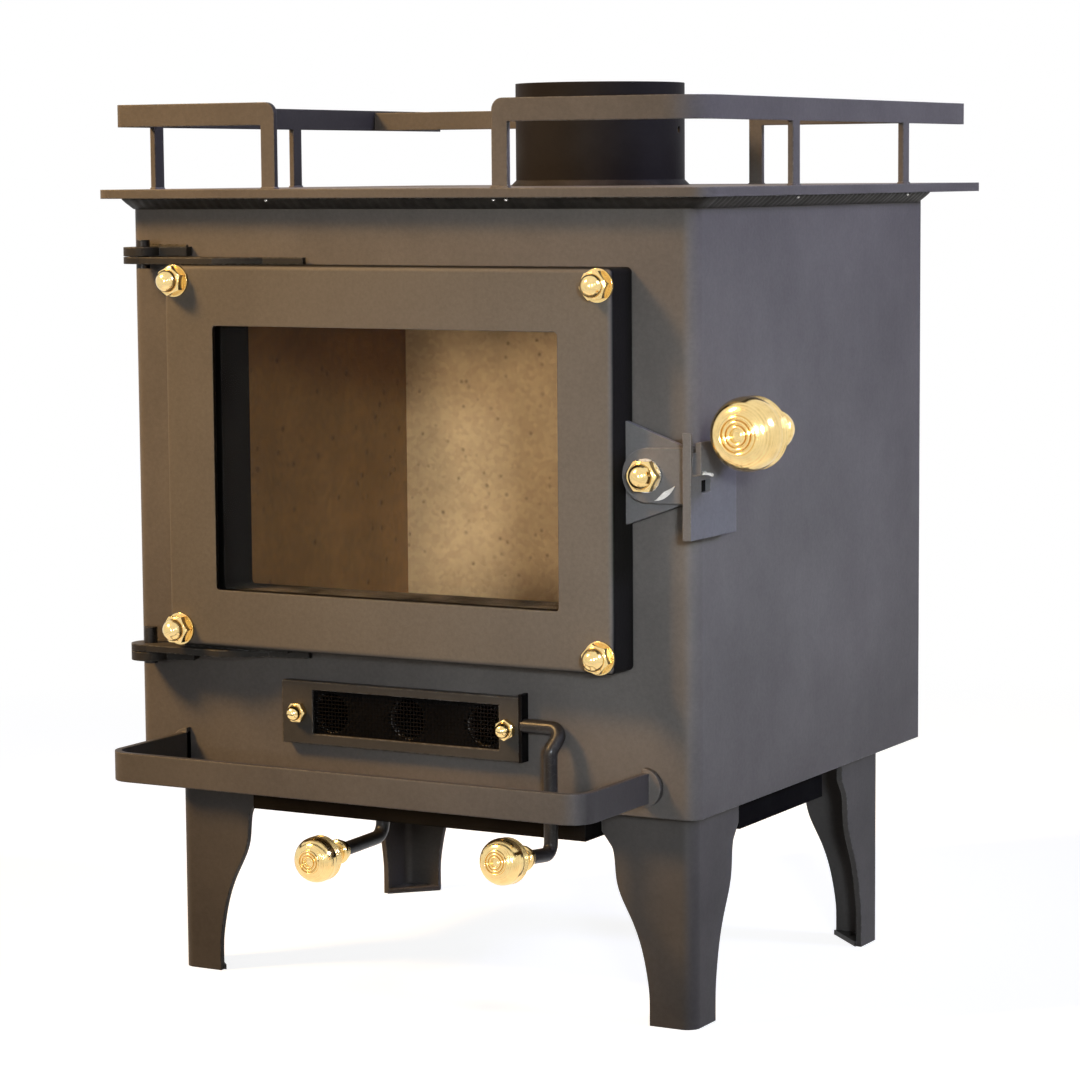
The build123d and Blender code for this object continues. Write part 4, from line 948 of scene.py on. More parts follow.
    @staticmethod
    def plate(outline: list[Vector], holes: list[list[Vector]], through: Vector) -> bmesh.types.BMesh:
        """Flat plate with holes.

        Args:
            outline: Corners of one face in order.
            holes: Corners of each hole in the same face.
            through: Step from that face to the other.

        Returns:
            The mesh.
        """
        mesh = bmesh.new()
        edges = []
        for loop in [outline, *holes]:
            corners = [mesh.verts.new(point) for point in loop]
            edges += [mesh.edges.new(pair) for pair in zip(corners, corners[1:] + corners[:1])]
        bmesh.ops.triangle_fill(mesh, use_beauty=True, edges=edges)
        made = bmesh.ops.extrude_face_region(mesh, geom=mesh.faces[:], use_keep_orig=True)
        moved = [part for part in made["geom"] if isinstance(part, bmesh.types.BMVert)]
        bmesh.ops.translate(mesh, vec=through, verts=moved)
        bmesh.ops.recalc_face_normals(mesh, faces=mesh.faces)
        return mesh

    @staticmethod
    def circle(centre: Vector, radius: float, side: Vector, up: Vector, steps: int = 40) -> list[Vector]:
        """Points round a circle that lies in two directions."""
        turn = [2 * math.pi * step / steps for step in range(steps)]
        return [centre + side * (radius * math.cos(a)) + up * (radius * math.sin(a)) for a in turn]

    @staticmethod
    def merge(meshes: list[bmesh.types.BMesh]) -> bmesh.types.BMesh:
        """Joins several meshes into the first.

        Args:
            meshes: Meshes to join; all but the first are freed.

        Returns:
            The first mesh, with the others in it.
        """
        first = meshes[0]
        for other in meshes[1:]:
            held = bpy.data.meshes.new("held")
            other.to_mesh(held)
            other.free()
            first.from_mesh(held)
            bpy.data.meshes.remove(held)
        return first


@dataclass
class Piece:
    """A piece made here, with the body that it rides on and what it stands for."""

    name: str
    body: Body
    finish: Finish
    slot: str
    replaces: tuple[str, ...] = ()
    sharp: float = 35.0

    def set_out(self, mesh: bmesh.types.BMesh, place: Matrix | None = None) -> bpy.types.Object:
        """Turns a mesh into an object, finishes it and seats it on its body.

        Args:
            mesh: Mesh of the piece.
            place: Where the piece goes, or None for the row frame itself.

        Returns:
            The new object.
        """
        data = bpy.data.meshes.new(self.name)
        mesh.to_mesh(data)
        mesh.free()
        data.shade_smooth()
        data.set_sharp_from_angle(angle=math.radians(self.sharp))
        data.materials.append(self.finish.material())
        made = bpy.data.objects.new(self.name, data)
        bpy.context.scene.collection.objects.link(made)
        if place is not None:
            made.matrix_world = place
        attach(made, self.body.value)
        if self.replaces:
            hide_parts(*self.replaces)
        LOG.info("%s: %d faces on %s", self.name, len(data.polygons), self.body.value)
        return made


@dataclass
class Assembly:
    """A sub-assembly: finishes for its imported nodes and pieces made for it."""

    finishes: dict[str, Finish] = field(default_factory=dict)

    def dress(self) -> None:
        """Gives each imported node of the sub-assembly its finish."""
        for name, finish in self.finishes.items():
            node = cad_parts[name]
            if node.material_slots:
                for slot in node.material_slots:
                    slot.material = finish.material()
            else:
                node.data.materials.append(finish.material())
            LOG.info("%s: %s", name, finish.name)

    def make(self) -> None:
        """Makes the pieces that the sub-assembly adds or replaces."""

    def build(self) -> None:
        """Dresses the nodes and makes the pieces."""
        self.dress()
        self.make()


# Welds


@dataclass
class WeldBead:
    """A rippled bead laid along a path."""

    width: float
    height: float
    ripple: float = 2.2 * MM
    seed: int = 1
    lumps: int = 64
    lump_limits: tuple[float, float] = (0.82, 1.18)
    swell: tuple[float, float] = (0.78, 0.22)
    drop_flat: float = 0.7
    drop_limits: tuple[float, float] = (0.85, 1.15)

    def mesh(self, path: list[Vector], closed: bool = False) -> bmesh.types.BMesh:
        """Lays the bead.

        Args:
            path: Points along the joint.
            closed: True where the bead returns to its start.

        Returns:
            The mesh of the bead.
        """
        chance = random.Random(self.seed)
        lumps = [chance.uniform(*self.lump_limits) for _ in range(self.lumps)]
        least, rise = self.swell

        def size(gone: float, _angle: float) -> tuple[float, float]:
            """Sizes the bead at a distance along it.

            Args:
                gone: Distance along the path.
                _angle: Angle round the path, not used.

            Returns:
                Half width and half height.
            """
            lump = lumps[int(gone / self.ripple) % len(lumps)]
            swell = lump * (least + rise * abs(math.sin(math.pi * gone / self.ripple)))
            return self.width / 2 * swell, self.height / 2 * swell

        return Shop.tube(path, size, 8, closed)

    def spots(self, places: list[Vector]) -> bmesh.types.BMesh:
        """Sets small round drops of weld.

        Args:
            places: Centres of the drops.

        Returns:
            One mesh of all the drops.
        """
        drops = []
        chance = random.Random(self.seed)
        for place in places:
            drop = bmesh.new()
            bmesh.ops.create_uvsphere(drop, u_segments=12, v_segments=8, radius=self.width / 2)
            squash = Vector((1.0, self.drop_flat, self.height / self.width))
            bmesh.ops.scale(drop, vec=squash * chance.uniform(*self.drop_limits), verts=drop.verts)
            bmesh.ops.translate(drop, vec=place, verts=drop.verts)
            drops.append(drop)
        return Shop.merge(drops)


# Bent strips


@dataclass
class BentStrip:
    """Flat bar stood on edge, bent in plan, with posts cut from the same strip."""

    line: list[Vector]
    bend: float
    under: float
    top: float
    thickness: float
    posts: list[tuple[float, float]] = field(default_factory=list)
    foot: float = 0.0
    end_round: float = 0.0
    round_steps: int = 6
    closest: float = 0.02 * MM

    def mesh(self) -> bmesh.types.BMesh:
        """Builds the strip, its bar to the left of its line.

        Returns:
            The mesh.
        """
        path = Shop.rounded_path(self.line, self.bend)
        marks = [0.0]
        for near, far in zip(path, path[1:]):
            marks.append(marks[-1] + (far - near).length)
        wanted = marks + [edge for post in self.posts for edge in post]
        turns = [math.pi / 2 * step / self.round_steps for step in range(self.round_steps + 1)]
        wanted += [self.end_round * (1 - math.cos(turn)) for turn in turns]
        columns: list[float] = []
        for mark in sorted(wanted):
            if not columns or mark - columns[-1] > self.closest:
                columns.append(mark)
        strip = bmesh.new()
        held: dict[tuple[int, int], bmesh.types.BMVert] = {}

        def corner(column: int, row: int) -> bmesh.types.BMVert:
            """Finds or makes a vertex of the strip.

            Args:
                column: Which column along the strip.
                row: 0 for the foot, 1 for the under side, 2 for the top.

            Returns:
                The vertex.
            """
            if (column, row) not in held:
                gone = columns[column]
                short = max(0.0, self.end_round - gone)
                drop = self.end_round - math.sqrt(self.end_round ** 2 - short ** 2)
                level = (self.foot, self.under, self.top - drop)[row]
                index = max(k for k, mark in enumerate(marks[:-1]) if mark <= gone + 1e-9)
                share = min(1.0, (gone - marks[index]) / (marks[index + 1] - marks[index]))
                point = path[index].lerp(path[index + 1], share)
                held[column, row] = strip.verts.new((point.x, point.y, level))
            return held[column, row]

        for column in range(len(columns) - 1):
            middle = (columns[column] + columns[column + 1]) / 2
            rows = [1] + [0 for first, last in self.posts if first < middle < last]
            for row in rows:
                strip.faces.new([corner(column, row), corner(column + 1, row),
                                 corner(column + 1, row + 1), corner(column, row + 1)])
        strip.normal_update()
        bmesh.ops.solidify(strip, geom=strip.faces[:], thickness=self.thickness)
        bmesh.ops.recalc_face_normals(strip, faces=strip.faces)
        return strip


# Sub-assemblies


@dataclass
class Carcass(Assembly):
    """Body, legs, tray, lip, top plate, collar and rail."""

    finishes: dict[str, Finish] = field(default_factory=lambda: {
        **dict.fromkeys((
            "body_shell", "back_panel", "base_plate", "top_plate", "rail_left", "rail_right",
            "rail_cross_left", "rail_cross_right", "ash_lip",
        ), PAINT),
        **dict.fromkeys(("leg_front_left", "leg_front_right", "leg_rear_left", "leg_rear_right"), LEG_SHADED_PAINT),
        "floor_tray": UNDER_PAINT,
        "flue_collar": COLLAR_PAINT,
    })
    seam_section: tuple[tuple[float, float], ...] = (
        (-0.4, 0.0), (1.0, 0.0), (0.97, -0.12), (0.66, -0.5), (0.36, -0.82), (0.12, -1.0), (-0.4, -1.0),
    )
    seam_corner: float = 6.5 * MM
    seam_gap: float = 0.7 * MM
    seam_ripple: float = 1.5 * MM
    seam_waves: tuple[float, ...] = (3.1, 4.7, 7.9, 17.0)
    seam_phase: float = 6.3
    seam_swell: tuple[float, float, float] = (0.93, 0.07, 0.045)
    post_bead: float = 1.6 * MM
    post_ripple: float = 1.5 * MM
    post_corner: float = 0.5 * MM
    post_rise: float = 0.1 * MM
    tack_x: tuple[float, ...] = (-63.5, 49.5, 55.5)
    tack_in: tuple[float, float] = (0.8 * MM, 0.9 * MM)
    tack_size: tuple[float, float] = (2.0 * MM, 1.5 * MM)
    rail_thickness: float = 2.5 * MM
    rail_height: float = 9.8 * MM
    cross_height: float = 8.8 * MM
    rail_round: float = 5.0 * MM
    side_post: float = 6.8 * MM
    front_posts: tuple[tuple[float, float], ...] = ((-60.4 * MM, 6.9 * MM), (47.4 * MM, 7.4 * MM))
    side_posts: tuple[tuple[float, float], ...] = ((27.5, 141.5), (86.8, 206.2))
    rail_bends: tuple[float, float] = (4.5 * MM, 18.0 * MM)
    cross_ends: tuple[float, float] = (-51.9 * MM, 63.3 * MM)
    cross_post: float = 6.6 * MM
    lip_inset: float = 9.0 * MM
    lip_thickness: float = 3.0 * MM
    lip_bend: float = 11.0 * MM
    lip_level: tuple[float, float] = (99.7 * MM, 112.3 * MM)
    ear_width: float = 5.3 * MM
    ear_height: float = 16.6 * MM

    def make(self) -> None:
        """Bends the rail and the lip and lays the welds of the carcass."""
        for side in (0, 1):
            self.rail(side)
            self.cross_bar(side)
        self.lip()
        self.top_seam()
        self.post_welds()
        self.tack_welds()

    def rail(self, side: int) -> None:
        """Bends one side of the rail.

        Args:
            side: 0 for the left, 1 for the right.
        """
        name = ("rail_left", "rail_right")[side]
        low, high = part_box(name)
        outer = (low.x, high.x)[side]
        free, post = self.front_posts[side]
        bend = self.rail_bends[side]
        run = abs(outer - free) - bend + bend * math.pi / 2
        places = [run + back(place) - low.y - bend for place in self.side_posts[side]]
        half = self.side_post / 2
        posts = [(0.0, post)] + [(place - half, place + half) for place in places]
        strip = BentStrip(
            [Vector((free, low.y, 0)), Vector((outer, low.y, 0)), Vector((outer, high.y, 0))], bend,
            high.z - self.rail_height, high.z, (-self.rail_thickness, self.rail_thickness)[side],
            posts, low.z, self.rail_round,
        )
        # The left rail takes the paint with painted shade on its side faces
        made, paint = (("left_rail", RAIL_SIDE_SHADED_PAINT), ("right_rail", PAINT))[side]
        Piece(made, Body.STOVE, paint, "stove_paint", (name,)).set_out(strip.mesh())

    def cross_bar(self, side: int) -> None:
        """Short bar across the rear of the rail with its post.

        Args:
            side: 0 for the left, 1 for the right.
        """
        name = ("rail_cross_left", "rail_cross_right")[side]
        low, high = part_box(name)
        rail_low, rail_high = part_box(("rail_left", "rail_right")[side])
        outer = (rail_low.x + self.rail_thickness, rail_high.x - self.rail_thickness)[side]
        strip = BentStrip(
            [Vector((self.cross_ends[side], low.y, 0)), Vector((outer, low.y, 0))], 0.0,
            high.z - self.cross_height, high.z, (-self.rail_thickness, self.rail_thickness)[side],
            [(0.0, self.cross_post)], low.z,
        )
        made = ("left_cross", "right_cross")[side]
        Piece(made, Body.STOVE, PAINT, "stove_paint", (name,)).set_out(strip.mesh())

    def lip(self) -> None:
        """Bends the ash lip and sets its rounded ears on the body."""
        low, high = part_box("ash_lip")
        left, right = low.x + self.lip_inset, high.x - self.lip_inset
        corners = ((left, high.y), (left, low.y), (right, low.y), (right, high.y))
        line = [Vector((x, y, 0)) for x, y in corners]
        strip = BentStrip(line, self.lip_bend, *self.lip_level, self.lip_thickness).mesh()
        ears = []
        middle = sum(self.lip_level) / 2
        for x, side in ((left, -1.0), (right, 1.0)):
            half = self.ear_height / 2
            centre = Vector((x + side * (self.ear_width - half), high.y, middle))
            arc = [math.pi / 2 * (step / 12 - 1) for step in range(25)]
            curve = [centre + Vector((side * half * math.cos(a), 0, half * math.sin(a))) for a in arc]
            inner = x - side * self.lip_thickness
            foot = [point for point in curve if side * (point.x - inner) > 0]
            ends = [Vector((inner, high.y, foot[-1].z)), Vector((inner, high.y, foot[0].z))]
            ears.append(Shop.plate(foot + ends, [], Vector((0, -self.lip_thickness, 0))))
        bar = Shop.merge([strip, *ears])
        Piece("ash_lip_bar", Body.STOVE, LIP_SIDE_SHADED_PAINT, "stove_paint", ("ash_lip",)).set_out(bar)

    def top_seam(self) -> None:
        """Rippled fillet round the body under the top plate."""
        low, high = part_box("top_weld")
        body_low, body_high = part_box("body_shell")
        reach = body_low.x - low.x
        chance = random.Random(7)
        waves = [(span, chance.uniform(0.0, 1.0)) for span in self.seam_waves]
        full, fine, broad = self.seam_swell
        loop = Shop.rounded_loop(
            (body_low.x, body_high.x), (body_low.y, body_high.y), self.seam_corner, self.seam_gap,
        )
        rings = []
        gone = 0.0
        for index, point in enumerate(loop):
            after = loop[(index + 1) % len(loop)]
            along = (after - loop[index - 1]).normalized()
            outward = Vector((along.y, -along.x, 0))
            slow = sum(math.sin(gone / (span * MM) + wave * self.seam_phase) for span, wave in waves)
            ripple = abs(math.sin(gone / self.seam_ripple))
            swell = full + fine * ripple + broad * (slow / len(waves) - 1)
            rings.append([
                point + outward * (out * reach * swell if out > 0 else out * MM)
                + Vector((0, 0, high.z + drop * (high.z - low.z) * (swell if -1 < drop < 0 else 1)))
                for out, drop in self.seam_section
            ])
            gone += (after - point).length
        bead = Shop.ring_skin(rings, True, False)
        Piece("top_seam", Body.STOVE, WELD_PAINT, "stove_paint", ("top_weld",), sharp=60.0).set_out(bead)

    def post_feet(self) -> list[tuple[tuple[float, float], tuple[float, float]]]:
        """Finds where the posts stand on the plate.

        Returns:
            Limits in X and in Y of each post.
        """
        feet = []
        for side, sign in ((0, -1), (1, 1)):
            low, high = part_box(("rail_left", "rail_right")[side])
            outer = (low.x, high.x)[side]
            free, post = self.front_posts[side]
            thick = self.rail_thickness
            feet.append((tuple(sorted((free, free + sign * post))), (low.y, low.y + thick)))
            for place in self.side_posts[side]:
                across = tuple(sorted((outer, outer - sign * thick)))
                half = self.side_post / 2
                feet.append((across, (back(place) - half, back(place) + half)))
            cross_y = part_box("rail_cross_left")[0].y
            end = self.cross_ends[side]
            feet.append((tuple(sorted((end, end + sign * self.cross_post))), (cross_y, cross_y + thick)))
        return feet

    def post_welds(self) -> None:
        """Small beads where the rail posts stand on the plate."""
        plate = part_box("top_plate")[1].z
        beads = []
        for index, (x, y) in enumerate(self.post_feet()):
            loop = Shop.rounded_loop(x, y, self.post_corner, self.post_corner)
            path = [point + Vector((0, 0, plate + self.post_rise)) for point in loop]
            bead = WeldBead(self.post_bead, self.post_bead, self.post_ripple, index)
            beads.append(bead.mesh(path, closed=True))
        Piece("post_welds", Body.STOVE, PAINT, "stove_paint", sharp=60.0).set_out(Shop.merge(beads))

    def tack_welds(self) -> None:
        """Bright tacks in the seam under the rail posts."""
        low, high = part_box("top_weld")
        inset, drop = self.tack_in
        level = high.z - drop
        places = [Vector((x * MM, low.y + inset, level)) for x in self.tack_x]
        places += [Vector((high.x - inset, back(place), level)) for place in self.side_posts[1]]
        tacks = WeldBead(*self.tack_size, seed=4).spots(places)
        Piece("tack_welds", Body.STOVE, BRIGHT_STEEL, "bright_steel", sharp=60.0).set_out(tacks)


@dataclass
class Firebox(Assembly):
    """Linings, grate, hearth and air path inside the body."""

    finishes: dict[str, Finish] = field(default_factory=lambda: {
        **dict.fromkeys(("floor_lining", "lining_back", "baffle"), BOARD),
        **dict.fromkeys(("lining_left", "lining_right"), SIDE_BOARD_SHADED),
        **dict.fromkeys(("hearth_plate", "air_duct", "opening_frame"), UNDER_PAINT),
        "fire_grate": CAST_IRON,
    })


@dataclass
class DomedNut:
    """Chamfered hexagon nut with a domed end, along local Z from its seat."""

    across: float
    hexagon: float
    dome: float
    length: float
    facets: int = 72
    dome_steps: int = 13
    face: float = 0.97
    widest: float = 1.2
    chamfer_from: float = 1.01
    chamfer: float = 32.0
    edge: float = 0.05 * MM
    fillet: float = 0.35 * MM
    fillet_rise: float = 0.02 * MM

    def mesh(self) -> bmesh.types.BMesh:
        """Builds the nut.

        Returns:
            The mesh, seat at zero and dome towards positive Z.
        """
        half = self.across / 2
        turn = [2 * math.pi * step / self.facets for step in range(self.facets)]

        def hexagon(limit: float, level: Callable[[float], float]) -> list[Vector]:
            """Lays out one ring of the hexagon.

            Args:
                limit: Radius that the corners are cut back to.
                level: Height of a point by its distance from the axis.

            Returns:
                The points of the ring.
            """
            ring = []
            for angle in turn:
                reach = half / math.cos((angle % (math.pi / 3)) - math.pi / 6)
                radius = min(reach, limit)
                ring.append(Vector((radius * math.cos(angle), radius * math.sin(angle), level(reach))))
            return ring

        def slope(reach: float) -> float:
            """Depth of the chamfer at a distance from the axis."""
            return max(0.0, reach - half * self.chamfer_from) * math.tan(math.radians(self.chamfer))

        face, widest = half * self.face, half * self.widest
        rings = [
            hexagon(face, lambda reach: 0.0),
            hexagon(widest, lambda reach: slope(reach) + self.edge),
            hexagon(widest, lambda reach: self.hexagon - slope(reach)),
            hexagon(face, lambda reach: self.hexagon),
        ]
        straight = self.length - self.dome
        profile: Section = [
            (self.dome + self.fillet, self.hexagon + self.fillet_rise),
            (self.dome, self.hexagon + self.fillet),
            (self.dome, straight),
        ]
        for step in range(1, self.dome_steps):
            angle = math.pi / 2 * step / self.dome_steps
            profile.append((self.dome * math.cos(angle), straight + self.dome * math.sin(angle)))
        for radius, height in profile:
            rings.append([Vector((radius * math.cos(a), radius * math.sin(a), height)) for a in turn])
        return Shop.ring_skin(rings, False, True)

    def set_on(self, seats: list[Vector], turn: float) -> bmesh.types.BMesh:
        """Sets copies of the nut on seats, with the domes towards the front.

        Args:
            seats: Centres of the seats.
            turn: How far each next nut is turned, in radians.

        Returns:
            One mesh of all the nuts.
        """
        nuts = []
        for index, seat in enumerate(seats):
            nut = self.mesh()
            spin = Matrix.Rotation(math.pi / 2, 4, "X") @ Matrix.Rotation(index * turn, 4, "Z")
            nut.transform(Matrix.Translation(seat) @ spin)
            nuts.append(nut)
        return Shop.merge(nuts)


@dataclass
class Door(Assembly):
    """Door pan, glass, clamp plate, rope, nuts and hinges."""

    finishes: dict[str, Finish] = field(default_factory=lambda: {
        "door_pan": DOOR_SIDE_SHADED_PAINT,
        "latch_bracket": LATCH_PAINT,
        **dict.fromkeys((
            "hinge_strap_top", "hinge_strap_bottom", "hinge_lug_top", "hinge_lug_bottom",
        ), HINGE_PAINT),
        "glass_retainer": UNDER_PAINT,
        "door_bolts": BLACK_STEEL,
        **dict.fromkeys(("hinge_pin_top", "hinge_pin_bottom"), BLACK_STEEL),
        "door_washers": NUT_BRASS,
        "window_glass": PANE,
        "glass_tape": FIBRE,
    })
    nut: DomedNut = field(default_factory=lambda: DomedNut(11.2 * MM, 4.2 * MM, 4.9 * MM, 9.6 * MM))
    bolt_in: tuple[float, float] = (6.05 * MM, 7.0 * MM)
    rope_corner: float = 19.5 * MM
    rope_half: float = 4.5 * MM
    rope_step: float = 0.9 * MM
    braid: float = 5.2 * MM
    strands: int = 4
    plump: tuple[float, float] = (0.90, 0.10)
    bead: tuple[float, float, float] = (2.4 * MM, 2.2 * MM, 1.8 * MM)
    bead_end: float = 1.0 * MM
    bead_step: float = 0.6
    bead_proud: float = -0.5

    def make(self) -> None:
        """Makes the nuts, the rope and the hinge welds."""
        self.nuts()
        self.rope()
        self.hinge_welds()

    def nuts(self) -> None:
        """Four domed nuts at the corners of the door."""
        low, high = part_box("door_pan")
        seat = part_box("door_washers")[0].y
        in_x, in_z = self.bolt_in
        across, up = (low.x + in_x, high.x - in_x), (low.z + in_z, high.z - in_z)
        nuts = self.nut.set_on([Vector((x, seat, z)) for x in across for z in up], 0.4)
        Piece("corner_nuts", Body.DOOR, NUT_BRASS, "brass", ("door_nuts",), sharp=28.0).set_out(nuts)

    def rope(self) -> None:
        """Braided rope in the channel of the door."""
        low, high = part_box("door_rope")
        half_w, half_d = self.rope_half, (high.y - low.y) / 2
        least, rise = self.plump
        loop = Shop.rounded_loop(
            (low.x + half_w, high.x - half_w), (low.z + half_w, high.z - half_w),
            self.rope_corner, self.rope_step,
        )
        path = [Vector((point.x, (low.y + high.y) / 2, point.y)) for point in loop]

        def size(gone: float, angle: float) -> tuple[float, float]:
            """Sizes the braid at a place on its skin.

            Args:
                gone: Distance along the rope.
                angle: Angle round the rope.

            Returns:
                Half width and half depth.
            """
            lay = 2 * math.pi * gone / self.braid
            one_way = abs(math.sin(self.strands * angle / 2 + lay / 2))
            other_way = abs(math.sin(self.strands * angle / 2 - lay / 2))
            weave = one_way * other_way
            plump = least + rise * weave ** 0.5
            return half_w * plump, half_d * plump

        rope = Shop.tube(path, size, 32, closed=True)
        Piece("braided_rope", Body.DOOR, FIBRE, "rope", ("door_rope",), sharp=80.0).set_out(rope)

    def hinge_welds(self) -> None:
        """Beads where the hinge lugs meet the body."""
        beads = []
        for name, seed in (("hinge_lug_top", 5), ("hinge_lug_bottom", 9)):
            low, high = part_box(name)
            for z in (low.z, high.z):
                steps = int((high.x - low.x - 2 * self.bead_end) / (self.bead_step * MM))
                along = [low.x + self.bead_end + step * self.bead_step * MM for step in range(steps)]
                path = [Vector((x, back(self.bead_proud), z)) for x in along]
                beads.append(WeldBead(*self.bead, seed).mesh(path))
        Piece("hinge_welds", Body.STOVE, HINGE_PAINT, "stove_paint", sharp=60.0).set_out(Shop.merge(beads))


@dataclass
class TurnedKnob:
    """Pear-shaped brass knob with a ringed front, turned from bar."""

    radius: float
    length: float
    face_rings: int = 3
    grooves: int = 4
    tip: Section = field(default_factory=lambda: [(0.02, 0.028), (0.10, 0.022), (0.16, 0.030)])
    ring: Section = field(default_factory=lambda: [
        (0.0, 0.030), (0.02, 0.006), (0.05, 0.0), (0.08, 0.006), (0.10, 0.030),
    ])
    belly: Section = field(default_factory=lambda: [
        (0.60, 0.034), (0.72, 0.05), (0.84, 0.085), (0.93, 0.14), (0.985, 0.20), (1.0, 0.27),
    ])
    groove: Section = field(default_factory=lambda: [
        (0.995, 0.0), (0.965, 0.008), (0.965, 0.014), (0.992, 0.022),
    ])
    cone: Section = field(default_factory=lambda: [
        (0.955, 0.44), (0.88, 0.49), (0.76, 0.56), (0.64, 0.64), (0.54, 0.72), (0.46, 0.80),
    ])
    neck: Section = field(default_factory=lambda: [
        (0.455, 0.825), (0.53, 0.845), (0.55, 0.865), (0.55, 0.90), (0.53, 0.92), (0.455, 0.935), (0.45, 1.0),
    ])
    first_ring: tuple[float, float] = (0.18, 0.13)
    first_groove: tuple[float, float] = (0.29, 0.035)

    def section(self) -> Section:
        """Half section from the front end to the neck.

        Returns:
            Radius and distance from the front of each point.
        """
        shares = list(self.tip)
        start, step = self.first_ring
        for ring in range(self.face_rings):
            shares += [(start + step * ring + out, gone) for out, gone in self.ring]
        shares += self.belly
        start, step = self.first_groove
        for groove in range(self.grooves):
            shares += [(out, start + step * groove + gone) for out, gone in self.groove]
        shares += self.cone + self.neck
        return [(out * self.radius, gone * self.length) for out, gone in shares]

    def set_on(self, piece: Piece, stem: Vector, tilt: float) -> None:
        """Sets the knob on the end of its stem, facing forward.

        Args:
            piece: Name, body and finish of the knob.
            stem: End of the rod that carries the knob.
            tilt: Upward tilt of the front, in degrees.
        """
        lean = Matrix.Rotation(math.radians(-tilt), 4, "X") @ Matrix.Rotation(-math.pi / 2, 4, "X")
        place = Matrix.Translation(stem) @ lean @ Matrix.Translation((0, 0, -self.length))
        piece.set_out(Shop.lathe(self.section(), 96), place)


